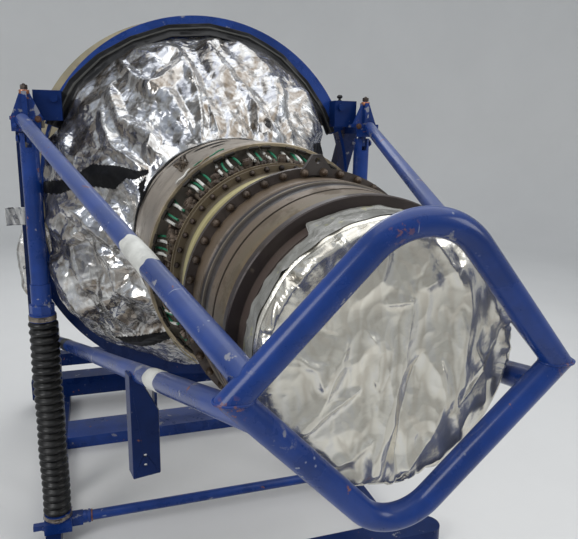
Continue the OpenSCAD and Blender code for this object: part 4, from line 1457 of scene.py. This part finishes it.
class TURBINE_OT_bellows(bpy.types.Operator):
    """Shape the two rubber bellows with rounded folds, and clamp their ends"""

    bl_idname = "turbine.bellows"
    bl_label = "Bellows"

    def execute(self, context):
        folds = context.scene.turbine_hardware.folds
        low, high = BELLOWS_LOW.z, BELLOWS_HIGH.z
        outer = (BELLOWS_HIGH.x - BELLOWS_LOW.x) / 2
        angles = turns(56)
        steps = folds * 12
        for side, name in SIDES:
            rings = []
            for i in range(steps + 1):
                t = i / steps
                wave = 0.5 - 0.5 * math.cos(t * folds * 2 * math.pi)
                r = outer - 0.0105 + 0.0102 * wave**0.6
                lean = 0.0012 * math.sin(t * 17 + side)
                tilt = 0.0008 * np.sin(angles + t * 23)
                z = low + (high - low) * t + tilt * (0 < i < steps)
                x = side * STRUT_X + lean + r * np.cos(angles)
                rings.append(np.stack([x, STRUT_Y + r * np.sin(angles), z], 1))
            maker = Maker()
            maker.loft(rings, True, True)
            rubber = maker.piece(f"bellows_rubber_{name}", "Bellows rubber", "bellows_rubber", 60)
            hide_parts(f"bellows_{name}")
            clamp = Maker()
            for z, r, h in ((high + 0.002, 0.0452, 0.019), (low - 0.019, 0.0502, 0.016)):
                clamp.lathe(
                    [(r, 0), (r + 0.0022, 0.001), (r + 0.0022, h - 0.001), (r, h)],
                    (side * STRUT_X, STRUT_Y, z), (0, 0, 1), 56,
                )
                clamp.box(
                    (side * STRUT_X - 0.011, STRUT_Y - r - 0.012, z + 0.003),
                    (side * STRUT_X + 0.011, STRUT_Y - r - 0.001, z + h - 0.003), 0.0015,
                )
                clamp.bolt((side * STRUT_X + 0.011, STRUT_Y - r - 0.007, z + h / 2), (1, 0, 0), 0.0045, 0.007)
            clamp.piece(f"bellows_clamps_{name}", "Bare steel", "heat_tinted_case")
        return {"FINISHED"}


class TURBINE_OT_flange_bolts(bpy.types.Operator):
    """Bolt the combustor flange, the large flange and the lug"""

    bl_idname = "turbine.flange_bolts"
    bl_label = "Flange bolts"

    # Radius of each ring of bolts and the station of its face, in metres
    LARGE_R = 0.2556
    LARGE_FRONT = 1.183
    LARGE_BACK = 1.167
    LUG_THICK = 0.012
    CASE_R = 0.2505
    CASE_FRONT = 0.984

    def execute(self, context):
        hardware = context.scene.turbine_hardware
        large = Maker()
        for i in range(hardware.large_bolts):
            a = math.radians(168.2 + i * 360 / hardware.large_bolts)
            spot = Vector((self.LARGE_R * math.cos(a), 0, self.LARGE_R * math.sin(a) + AXIS_Z))
            on_lug = abs(math.degrees(a) % 360 - 90) < 8
            rear = station(self.LARGE_FRONT + (self.LUG_THICK if on_lug else 0))
            large.bolt(spot + Vector((0, rear, 0)), (0, -1, 0), 0.0074, 0.009, 0.0088)
            large.bolt(spot + Vector((0, station(self.LARGE_BACK), 0)), (0, 1, 0), 0.0072, 0.009, 0.0082)
            large.dome(spot + Vector((0, rear - 0.0085, 0)), (0, -1, 0), 0.0060, 0.0055)
        large.piece("large_flange_bolts", "Brown steel", "dark_flange", 50)
        case = Maker()
        for i in range(hardware.case_bolts):
            a = math.radians(171.6 + i * 360 / hardware.case_bolts)
            x, z = self.CASE_R * math.cos(a), self.CASE_R * math.sin(a) + AXIS_Z
            spot = Vector((x, station(self.CASE_FRONT), z))
            case.bolt(spot, (0, -1, 0), 0.0060, 0.006, 0.0068)
            case.dome(spot + Vector((0, -0.0055, 0)), (0, -1, 0), 0.0048, 0.0060)
        case.piece("combustor_flange_bolts", "Dark bolt steel", "dark_flange", 50)
        return {"FINISHED"}


class TURBINE_OT_recess_detail(bpy.types.Operator):
    """Fill the recess with the fittings, nuts, pipes and wires round the stub tubes"""

    bl_idname = "turbine.recess_detail"
    bl_label = "Recess fittings and wires"

    # Groups of stub tubes, degrees from one to the next, and the turns of the tubes within a group
    PAIRS = 20
    STEP = 18
    TWINS = (0.0, 6.0)
    TURNS = (3.9, 1.1)
    # Radius and station of the stub tubes' two ends
    NEAR = (0.284, 0.8482)
    FAR = (0.247, 0.9638)
    # Sleeves: colour, turn in degrees, radius of the sleeve, and the share of the tube that it covers
    SLEEVES = (("white", 3.9, 0.0038, 0.60), ("green", 1.1, 0.0029, 0.66))
    # Square blocks of a group: turn in degrees, radius, station and size
    SQUARES = ((12.0, 0.262, 0.880, 0.013), (15.0, 0.262, 0.880, 0.011), (13.4, 0.248, 0.914, 0.014))
    # Pipes round the recess: radius, station and size
    RING_PIPES = ((0.2530, 0.9460, 0.0032), (0.2555, 0.9545, 0.0026), (0.2500, 0.9350, 0.0024))
    # Leads on the core: piece, finish, slot, first and last angle in degrees, station and size
    LEADS = (
        ("core_lead_white", "White tube", "white_tube", 138, 129, 0.858, 0.0026),
        ("core_lead_green", "Green tube", "green_tube", 127, 111, 0.850, 0.0018),
        ("core_lead_tan", "Bright rim", "golden_case", 131, 119, 0.866, 0.0022),
    )
    # Dark strips lying on the core where it has openings, painted shade of their insides: first and last angle
    # in degrees, station and width
    OPENING_SHADES = (
        (112, 134, 0.545, 0.016), (136, 165, 0.535, 0.012), (97, 118, 0.600, 0.034), (104, 112, 0.690, 0.020),
    )

    def spot(self, r, s, a):
        """Row point at a radius, a station and an angle round the axis."""
        return Vector((r * math.cos(a), station(s), r * math.sin(a) + AXIS_Z))

    def execute(self, context):
        rng = np.random.default_rng(3)
        fittings, blocks, slots, nuts = Maker(), Maker(), Maker(), Maker()
        self.sleeves(np.random.default_rng(19))
        for i in range(self.PAIRS):
            for twin in self.TWINS:
                for turn in self.TURNS:
                    a = math.radians(i * self.STEP + turn + twin)
                    near, far = self.spot(*self.NEAR, a), self.spot(*self.FAR, a)
                    way = (far - near).normalized()
                    reach = rng.uniform(0.046, 0.060)
                    fittings.tube([far - way * 0.002, far - way * reach], [0.0066, 0.0054], 10)
                    fittings.bolt(far - way * reach, -way, 0.0060, 0.006)
                    fittings.bolt(far - way * 0.014, -way, 0.0076, 0.007)
                a = math.radians(i * self.STEP + twin + 2.5)
                # Near-black bars under the rim: painted shade of the slots there.
                slots.tube([self.spot(0.2935, 0.8742, a + turn) for turn in (-0.040, 0.040)], 0.0050, 6)
            for k in range(5):
                a = math.radians(i * self.STEP + 11.6 + k * 1.5 + rng.uniform(-0.5, 0.5))
                out = Vector((math.cos(a), 0, math.sin(a)))
                foot = self.spot(0.238 + 0.010 * rng.random(), 0.884 + 0.015 * k + 0.008 * rng.random(), a)
                size = rng.uniform(0.0060, 0.0105)
                blocks.bolt(foot, out, size * 1.2, 0.018, size * 1.5)
                blocks.bolt(foot + out * 0.018, out, size, 0.008 + 0.008 * rng.random())
            for k in range(6):
                a = math.radians(i * self.STEP + 3.0 * k + rng.uniform(-0.9, 0.9))
                foot = self.spot(0.247, 0.936 + 0.020 * rng.random(), a)
                out = Vector((math.cos(a), rng.uniform(-0.3, 0.3), math.sin(a)))
                blocks.bolt(foot, out, rng.uniform(0.0050, 0.0075), rng.uniform(0.010, 0.018), 0.009)
            for turn, r, s, size in self.SQUARES:
                a = math.radians(i * self.STEP + turn + rng.uniform(-0.4, 0.4))
                nuts.tube([self.spot(r, s, a), self.spot(r, s + 0.022 + 0.006 * rng.random(), a)], size, 4)
            a = math.radians(i * self.STEP + 15.6)
            knee = [self.spot(0.252, 0.896, a), self.spot(0.262, 0.926, a), self.spot(0.256, 0.955, a + 0.03)]
            blocks.tube(knee, 0.0085, 10)
            blocks.bolt(self.spot(0.266, 0.926, a), (math.cos(a), 0, math.sin(a)), 0.0095, 0.012, 0.012)
            for k in range(2):
                a = math.radians(i * self.STEP + 8.6 + k * 9 + rng.uniform(-0.8, 0.8))
                out = Vector((math.cos(a), -0.25, math.sin(a)))
                foot = self.spot(0.246, 0.940 - 0.030 * k, a)
                nuts.tube([foot, foot + out * 0.016], 0.0075, 10)
                nuts.dome(foot + out * 0.015, out, 0.0090, 0.0080)
        fittings.piece("stub_tube_fittings", "Brown pipe", "dark_flange")
        blocks.piece("recess_nuts", "Brown steel", "dark_flange")
        nuts.piece("recess_domed_nuts", "Dark bolt steel", "dark_flange", 60)
        slots.piece("recess_slot_shades", "Slot metal", "dark_flange")
        pipes = Maker()
        for r, s, size in self.RING_PIPES:
            ring = []
            for t in np.linspace(0, 2 * math.pi, 200):
                bend = 0.0008 * math.sin(17 * t + s * 50)
                ring.append(self.spot(r + bend, s + 0.0012 * math.sin(11 * t), t))
            pipes.tube(ring, size, 8)
        for w in range(26):
            a0 = rng.uniform(0, 2 * math.pi)
            run = rng.uniform(0.10, 0.34)
            s0, s1 = rng.uniform(0.880, 0.915), rng.uniform(0.920, 0.955)
            path = []
            for t in np.linspace(0, 1, 22):
                hop = math.sin(math.pi * t)
                r = 0.258 + (0.012 + 0.016 * ((w * 7) % 5) / 5) * hop
                path.append(self.spot(r, s0 + (s1 - s0) * t + 0.004 * math.sin(9 * t + w), a0 + run * t))
            pipes.tube(path, rng.uniform(0.0014, 0.0026), 7)
        pipes.piece("recess_pipes", "Brown pipe", "dark_flange", 60)
        rim = Maker()
        lip = [(0.2962, 0.0), (0.2962, 0.0018), (0.3028, 0.0018), (0.3036, 0.0010)]
        lip += [(0.3036, -0.0045), (0.3026, -0.0052)]
        rim.lathe(lip, (0, station(0.874), AXIS_Z), (0, -1, 0), 160)
        rim.piece("core_rim_trim", "Bright rim", "golden_case")
        self.core_fittings(rng)
        return {"FINISHED"}

    def sleeves(self, rng):
        """Bent white and green sleeves of the stub tubes."""
        for colour, turn, size, length in self.SLEEVES:
            maker = Maker()
            for i in range(self.PAIRS):
                for twin in self.TWINS:
                    first = math.radians(i * self.STEP + turn + twin + rng.uniform(-1.4, 1.4))
                    last = math.radians(i * self.STEP + turn + twin)
                    rise, sway = rng.uniform(0.001, 0.010), math.radians(rng.uniform(-2.0, 2.0))
                    path = []
                    for t in np.linspace(0, length, 10):
                        hop = math.sin(math.pi * t)
                        a = first + (last - first) * t + sway * hop
                        r, s = self.NEAR[0] - 0.037 * t + rise * hop, self.NEAR[1] + 0.1156 * t
                        path.append(self.spot(r, s, a))
                    maker.tube(path, size, 10)
            material = f"{colour.capitalize()} tube"
            sleeve = maker.piece(f"stub_sleeves_{colour}", material, f"{colour}_tube", 60)
            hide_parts(f"stub_tubes_{colour}")

    def core_fittings(self, rng):
        """Knot of wires, loose leads, and dark strips of painted shade where the core has openings in front of
        the recess.
        """
        knot = Maker()
        for w in range(12):
            a0, s0 = math.radians(rng.uniform(123, 131)), rng.uniform(0.690, 0.760)
            path = []
            for t in np.linspace(0, 1, 18):
                a = a0 + 0.050 * math.sin(5 * t + w) * t
                s = s0 + 0.060 * (t - 0.4) + 0.014 * math.sin(8 * t + w * 2)
                hop = 0.020 * math.sin(math.pi * t) * (0.4 + 0.6 * ((w * 5) % 7) / 7)
                path.append(self.spot(0.3085 + hop, s, a))
            knot.tube(path, rng.uniform(0.0016, 0.0030), 7)
        knot.piece("core_wire_knot", "Brown pipe", "dark_flange", 60)
        for name, material, slot, first, last, s, r in self.LEADS:
            path = []
            for t in np.linspace(0, 1, 24):
                a = math.radians(first + (last - first) * t)
                path.append(self.spot(0.3052 + r + 0.0012 * math.sin(t * 9), s + 0.004 * math.sin(t * 5), a))
            lead = Maker()
            lead.tube(path, r, 8)
            lead.piece(name, material, slot, 60)
        strap = Maker()
        rows = []
        for t in np.linspace(0, 1, 26):
            a, s = math.radians(213 + 19 * t), 0.800 + 0.072 * t**1.4
            lift = 0.3085 + 0.004 * math.sin(math.pi * t)
            widths = (-1, -0.5, 0, 0.5, 1)
            rows.append([self.spot(lift + 0.0006 * abs(w), s + 0.0065 * w, a + 0.012 * w) for w in widths])
        strap.loft(rows, closed=False)
        webbing = strap.piece("core_strap", "Strap webbing", "golden_case", 60)
        thicken(webbing, 0.0016)
        # Dark strips over the core's openings: painted shade of their insides.
        openings = Maker()
        for first, last, s, wide in self.OPENING_SHADES:
            rows = []
            for t in np.linspace(0, 1, 24):
                a = math.radians(first + (last - first) * t)
                half = wide / 2 * (math.sin(math.pi * t) ** 0.35 if 0 < t < 1 else 0.02)
                places = ((0.3066, s - half), (0.3070, s), (0.3066, s + half))
                rows.append([self.spot(*place, a) for place in places])
            openings.loft(rows, closed=False)
        openings.piece("core_opening_shades", "Dull black tape", "bellows_rubber", 60)


class TURBINE_OT_tube_tapes(bpy.types.Operator):
    """Wrap the white and grey tape bands round the tubes"""

    bl_idname = "turbine.tube_tapes"
    bl_label = "Tape bands"

    # Ends of the two taped tubes and their radius. Each band is a tube, the shares of its length at which the
    # band starts and ends, and its finish
    BRACE = ((-0.620, 0.06348, 1.599), (-0.23736, -1.4016, 1.2637))
    SIDE_TUBE = ((-0.587, 0.37148, 0.732), (-0.22756, -1.3965, 1.2083))
    TUBE_R = 0.0214
    BANDS = {
        "brace_tape_white": (BRACE, 0.690, 0.768, "White tape"),
        "side_tape_white": (SIDE_TUBE, 0.736, 0.779, "White tape"),
        "side_tape_grey": (SIDE_TUBE, 0.120, 0.175, "Dark band"),
    }

    def execute(self, context):
        for name, (ends, first, last, material) in self.BANDS.items():
            start, end = (Vector(point) for point in ends)
            across, up, along = basis(end - start)
            length = (end - start).length
            angles = turns(56)
            rings = []
            for t in np.linspace(0, 1, 9):
                place = (first + (last - first) * t) * length
                wavy = 0.0014 * np.sin(angles * 2 + 1) * (abs(t - 0.5) * 2)
                r = self.TUBE_R + 0.0006 + 0.0003 * np.sin(angles * 5 + t * 9)
                r = r - (0.0012 if t in (0.0, 1.0) else 0.0)
                rings.append(
                    [
                        start + along * (place + w) + across * (q * math.cos(a)) + up * (q * math.sin(a))
                        for a, q, w in zip(angles, r, wavy)
                    ]
                )
            maker = Maker()
            maker.loft(rings)
            maker.piece(name, material, "white_tube", 60)
        return {"FINISHED"}


class TURBINE_OT_head_hardware(bpy.types.Operator):
    """Bolt the heads, brackets and posts, and add nuts and fittings"""

    bl_idname = "turbine.head_hardware"
    bl_label = "Head hardware"

    def execute(self, context):
        painted, rusty, crowns, spacers = Maker(), Maker(), Maker(), Maker()
        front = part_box("head_left")[0].y
        for side, _ in SIDES:
            x = side * STRUT_X
            painted.bolt((x + side * 0.034, front, 1.582), (0, -1, 0), 0.007, 0.006, 0.010)
            rusty.bolt((x - side * 0.037, front, 1.604), (0, -1, 0), 0.0085, 0.010, 0.011)
            painted.bolt((x + side * 0.031, STRUT_Y, 1.540), (side, 0, 0), 0.012, 0.009, 0.015)
            for y in (0.03, 0.10):
                painted.bolt((side * 0.612, ARCH_Y + y, 1.620), (0, 0, 1), 0.010, 0.009, 0.013)
            for dy in (-0.036, 0.036):
                painted.bolt((side * 0.6605, STRUT_Y + dy, 0.082), (side, 0, 0), 0.007, 0.007, 0.009)
            crown = Vector((side * 0.612, 0.0965, 1.6835))
            spacer = [(0.010, 0), (0.0154, 0), (0.0162, 0.0012), (0.0162, 0.0112), (0.0154, 0.0128)]
            spacer += [(0.0095, 0.0128)]
            spacers.lathe(spacer, crown, (0, 0, 1), 40)
            crowns.bolt(crown + Vector((0, 0, 0.0128)), (0, 0, 1), 0.0122, 0.0160)
            crowns.dome(crown + Vector((0, 0, 0.0285)), (0, 0, 1), 0.0060, 0.0050)
            rod = Vector((side * 0.522, STRUT_Y, 0.084))
            inward = (-side, 0, 0)
            collar = [(0.020, 0), (0.0245, 0.002), (0.0245, 0.016), (0.0225, 0.018), (0.0225, 0.036)]
            collar += [(0.0202, 0.039)]
            painted.lathe(collar, rod, inward, 40)
            painted.bolt(rod + Vector((-side * 0.020, 0, 0)), inward, 0.0262, 0.012)
            spacers.lathe(
                [(0.0226, 0), (0.0240, 0.001), (0.0240, 0.004), (0.0226, 0.005)],
                rod + Vector((-side * 0.033, 0, 0)), inward, 40,
            )
        painted.piece("stand_bolts", "Blue paint", "blue_paint")
        rusty.piece("head_fittings", "Rusty steel", "dark_flange")
        crowns.piece("crown_nuts", "Dark bolt steel", "dark_flange")
        spacers.piece("crown_spacers", "Copper spacer", "dark_flange")
        knob = Maker()
        foot = Vector((0.530, ARCH_Y - 0.030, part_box("arch_bracket_right")[1].z - 0.001))
        knob.lathe([(0.0085, 0), (0.0085, 0.004), (0.0050, 0.006), (0.0050, 0.012)], foot, (0, 0, 1), 20)
        cap = [(0.0052, 0.010), (0.0105, 0.013), (0.0115, 0.018), (0.0080, 0.024), (0, 0.025)]
        knob.lathe(cap, foot, (0, 0, 1), 20)
        knob.piece("arch_bracket_knob", "Bellows rubber", "bellows_rubber", 60)
        self.leg_tag()
        self.weld_beads()
        return {"FINISHED"}

    def weld_beads(self):
        """Weld beads round the two corners of the guard."""
        beads = Maker()
        tube_r = 0.0211
        for side, _ in SIDES:
            corner = Vector((side * 0.258, -1.3995, AXIS_Z - 0.009))
            ring = []
            for k in range(57):
                a = 2 * math.pi * k / 56
                grow = 1.012 + 0.006 * math.sin(a * 11)
                x, y = tube_r * 1.35 * grow * math.cos(a), tube_r * grow * math.sin(a)
                ring.append(corner + Vector((x, y, 0.0004 * math.sin(a * 7))))
            beads.tube(ring, 0.0021, 8)
        beads.piece("guard_weld_beads", "Guard paint", "blue_paint", 60)

    def leg_tag(self):
        """Silver tag stuck to the front face of the left rear leg, standing out past its edge."""
        rows = []
        for z in np.linspace(1.180, 1.262, 14):
            drop = 1.575 - z
            edge = -0.6675 - drop * 0.0885
            face = 0.2709 + drop * 0.7757
            row = []
            for u in np.linspace(-0.058, 0.020, 22):
                curl = 0.012 * min(0, u / 0.06) ** 2
                ripple = 0.0012 * math.sin(u * 190 + z * 60) * (u < 0)
                row.append((edge + u, face - 0.0012 - curl + ripple, z))
            rows.append(row)
        maker = Maker()
        maker.loft(np.array(rows), closed=False)
        tag = maker.piece("leg_tag", "Tag foil", "foil_film", 180)
        count = len(tag.data.vertices)
        # Stripes of lighter and darker tone across the tag: a painted reflection on the foil.
        mark(tag, "tone", 0.62 + 0.16 * np.sin(np.arange(count) % 22 * 0.9))
        mark(tag, "hue", np.full(count, 0.4))
        thicken(tag, 0.0006)


class TURBINE_OT_side_brackets(bpy.types.Operator):
    """Bend the bracket under each side tube from plate, with its sloping edge and two holes"""

    bl_idname = "turbine.side_brackets"
    bl_label = "Side brackets"

    # Turn of the plates, widths of the web and the flange, place of the bend, and radius of the holes
    TURN = math.radians(11.5)
    WEB = 0.062
    FLANGE = 0.036
    BEND_X = 0.3645
    HOLE_R = 0.004

    def execute(self, context):
        c, s = math.cos(self.TURN), math.sin(self.TURN)
        for side, name in SIDES:
            low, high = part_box(f"bracket_{name}")
            edge = self.BEND_X
            front = low.y + 0.0006
            top = high.z

            def web(w, z, d):
                return side * (edge - w * c - d * s), front + w * s + d * c, z

            def outer(w, z, d):
                return side * (edge + w * s - d * c), front + w * c + d * s, z

            def inner(w, z, d):
                x, y, _ = web(self.WEB, z, 0)
                return x + side * (w * s + d * c), y + w * c - d * s, z

            rounds = []
            r = self.HOLE_R
            for z in (low.z + 0.028, low.z + 0.052):
                rounds.append([(0.028 + r * math.cos(a), z + r * math.sin(a)) for a in turns(20)])
            sloped = [(0, low.z), (self.WEB, low.z), (self.WEB, low.z + 0.154), (0.022, top - 0.012)]
            sloped += [(0.022, top), (0, top)]
            edge_strip = [(0.001, low.z), (self.FLANGE, low.z + 0.004), (self.FLANGE, top), (0.001, top)]
            stiffener = [(0.008, low.z + 0.09), (0.026, low.z + 0.09), (0.026, top), (0.008, top)]
            maker = Maker()
            maker.plate(sloped, rounds, 0.008, web)
            maker.plate(edge_strip, [], 0.006, outer)
            maker.plate(stiffener, [], 0.006, inner)
            plates = maker.piece(f"side_bracket_{name}", "Bracket paint", "blue_paint", 30)
            soft = plates.modifiers.new("Edges", "BEVEL")
            soft.width = 0.0012
            soft.segments = 2
            soft.limit_method = "ANGLE"
            soft.harden_normals = True
            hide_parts(f"bracket_{name}")
        return {"FINISHED"}


class TURBINE_OT_stage(bpy.types.Operator):
    """Set the floor, the backdrop, the lamps and the camera"""

    bl_idname = "turbine.stage"
    bl_label = "Stage, lamps and camera"

    # Radius of the flat floor, radius of its bend up to the backdrop, and the backdrop's height
    FLOOR_R = 7.0
    BEND_R = 1.6
    WALL_TOP = 5.5
    # Place, aim, size in metres and power in watts of each lamp
    LAMPS = (
        ("Top softbox", (0.6, -0.4, 4.6), (0.0, -0.2, 1.0), 5.0, 100),
        ("Left softbox", (-3.4, -2.4, 3.2), (-0.2, -0.6, 1.2), 1.8, 66),
        ("Right softbox", (3.2, -3.2, 2.8), (0.2, -1.0, 1.1), 1.5, 34),
        ("Back softbox", (1.0, 4.6, 3.4), (0.0, 0.6, 1.2), 2.4, 40),
    )

    def execute(self, context):
        scene = context.scene
        maker = Maker()
        flat, bend, top = self.FLOOR_R, self.BEND_R, self.WALL_TOP
        profile = [(0.0, -0.0005), (3.0, -0.0005), (flat, -0.0005)]
        profile += [(flat + bend * math.sin(t), bend - bend * math.cos(t)) for t in np.linspace(0.1, 1.57, 12)]
        profile += [(8.6, top)]
        maker.lathe(profile, (0, 0, 0), (0, 0, 1), 96)
        mesh = bpy.data.meshes.new("floor_and_backdrop")
        mesh.from_pydata(maker.points, [], maker.faces)
        mesh.shade_smooth()
        mesh.materials.append(finish("Floor"))
        floor = bpy.data.objects.new("floor_and_backdrop", mesh)
        scene.collection.objects.link(floor)
        for name, place, aim, size, power in self.LAMPS:
            lamp = bpy.data.lights.new(name, "AREA")
            lamp.shape = "SQUARE"
            lamp.size = size
            lamp.energy = power
            obj = bpy.data.objects.new(name, lamp)
            obj.location = place
            obj.rotation_euler = (Vector(aim) - Vector(place)).to_track_quat("-Z", "Y").to_euler()
            scene.collection.objects.link(obj)
        world = bpy.data.worlds.new("Studio")
        scene.world = world
        world.use_nodes = True
        sky = world.node_tree.nodes["Background"]
        sky.inputs["Color"].default_value = (0.86, 0.92, 1.0, 1)
        sky.inputs["Strength"].default_value = 0.5
        scene.view_settings.view_transform = "Standard"
        right, up, back = camera_axes()
        data = bpy.data.cameras.new("Camera")
        data.sensor_width = 36
        data.lens = 36 * CAMERA_REACH / PICTURE[0]
        data.sensor_fit = "HORIZONTAL"
        camera = bpy.data.objects.new("Camera", data)
        axes = zip(right, up, back, CAMERA_PLACE)
        camera.matrix_world = Matrix([*axes, (0, 0, 0, 1)])
        scene.collection.objects.link(camera)
        scene.camera = camera
        return {"FINISHED"}


class TURBINE_PT_pieces(bpy.types.Panel):
    """Lists the steps that dress the turbine."""

    bl_idname = "TURBINE_PT_pieces"
    bl_label = "Bagged Gas Turbine"
    bl_space_type = "VIEW_3D"
    bl_region_type = "UI"
    bl_category = "Turbine"

    def draw(self, context):
        layout = self.layout
        for owner in ("turbine_paint", "turbine_foil", "turbine_hardware"):
            group = getattr(context.scene, owner)
            box = layout.box()
            for name in group.bl_rna.properties.keys():
                if name not in ("rna_type", "name"):
                    box.prop(group, name)
        for step in STEPS:
            layout.operator(step.bl_idname)


STEPS = (
    TURBINE_OT_stage,
    TURBINE_OT_paint_stand,
    TURBINE_OT_duct_foil,
    TURBINE_OT_intake_foil,
    TURBINE_OT_exhaust_foil,
    TURBINE_OT_arch_tape,
    TURBINE_OT_bellows,
    TURBINE_OT_flange_bolts,
    TURBINE_OT_recess_detail,
    TURBINE_OT_tube_tapes,
    TURBINE_OT_head_hardware,
    TURBINE_OT_side_brackets,
)
CLASSES = (TurbinePaint, TurbineFoil, TurbineHardware, *STEPS, TURBINE_PT_pieces)


def register():
    for cls in CLASSES:
        bpy.utils.register_class(cls)
    bpy.types.Scene.turbine_paint = bpy.props.PointerProperty(type=TurbinePaint)
    bpy.types.Scene.turbine_foil = bpy.props.PointerProperty(type=TurbineFoil)
    bpy.types.Scene.turbine_hardware = bpy.props.PointerProperty(type=TurbineHardware)


def unregister():
    del bpy.types.Scene.turbine_paint
    del bpy.types.Scene.turbine_foil
    del bpy.types.Scene.turbine_hardware
    for cls in reversed(CLASSES):
        bpy.utils.unregister_class(cls)


def dress_turbine():
    """Runs every step in order."""
    register()
    for step in STEPS:
        area, name = step.bl_idname.split(".")
        getattr(getattr(bpy.ops, area), name)()


if __name__ == "__main__":
    dress_turbine()
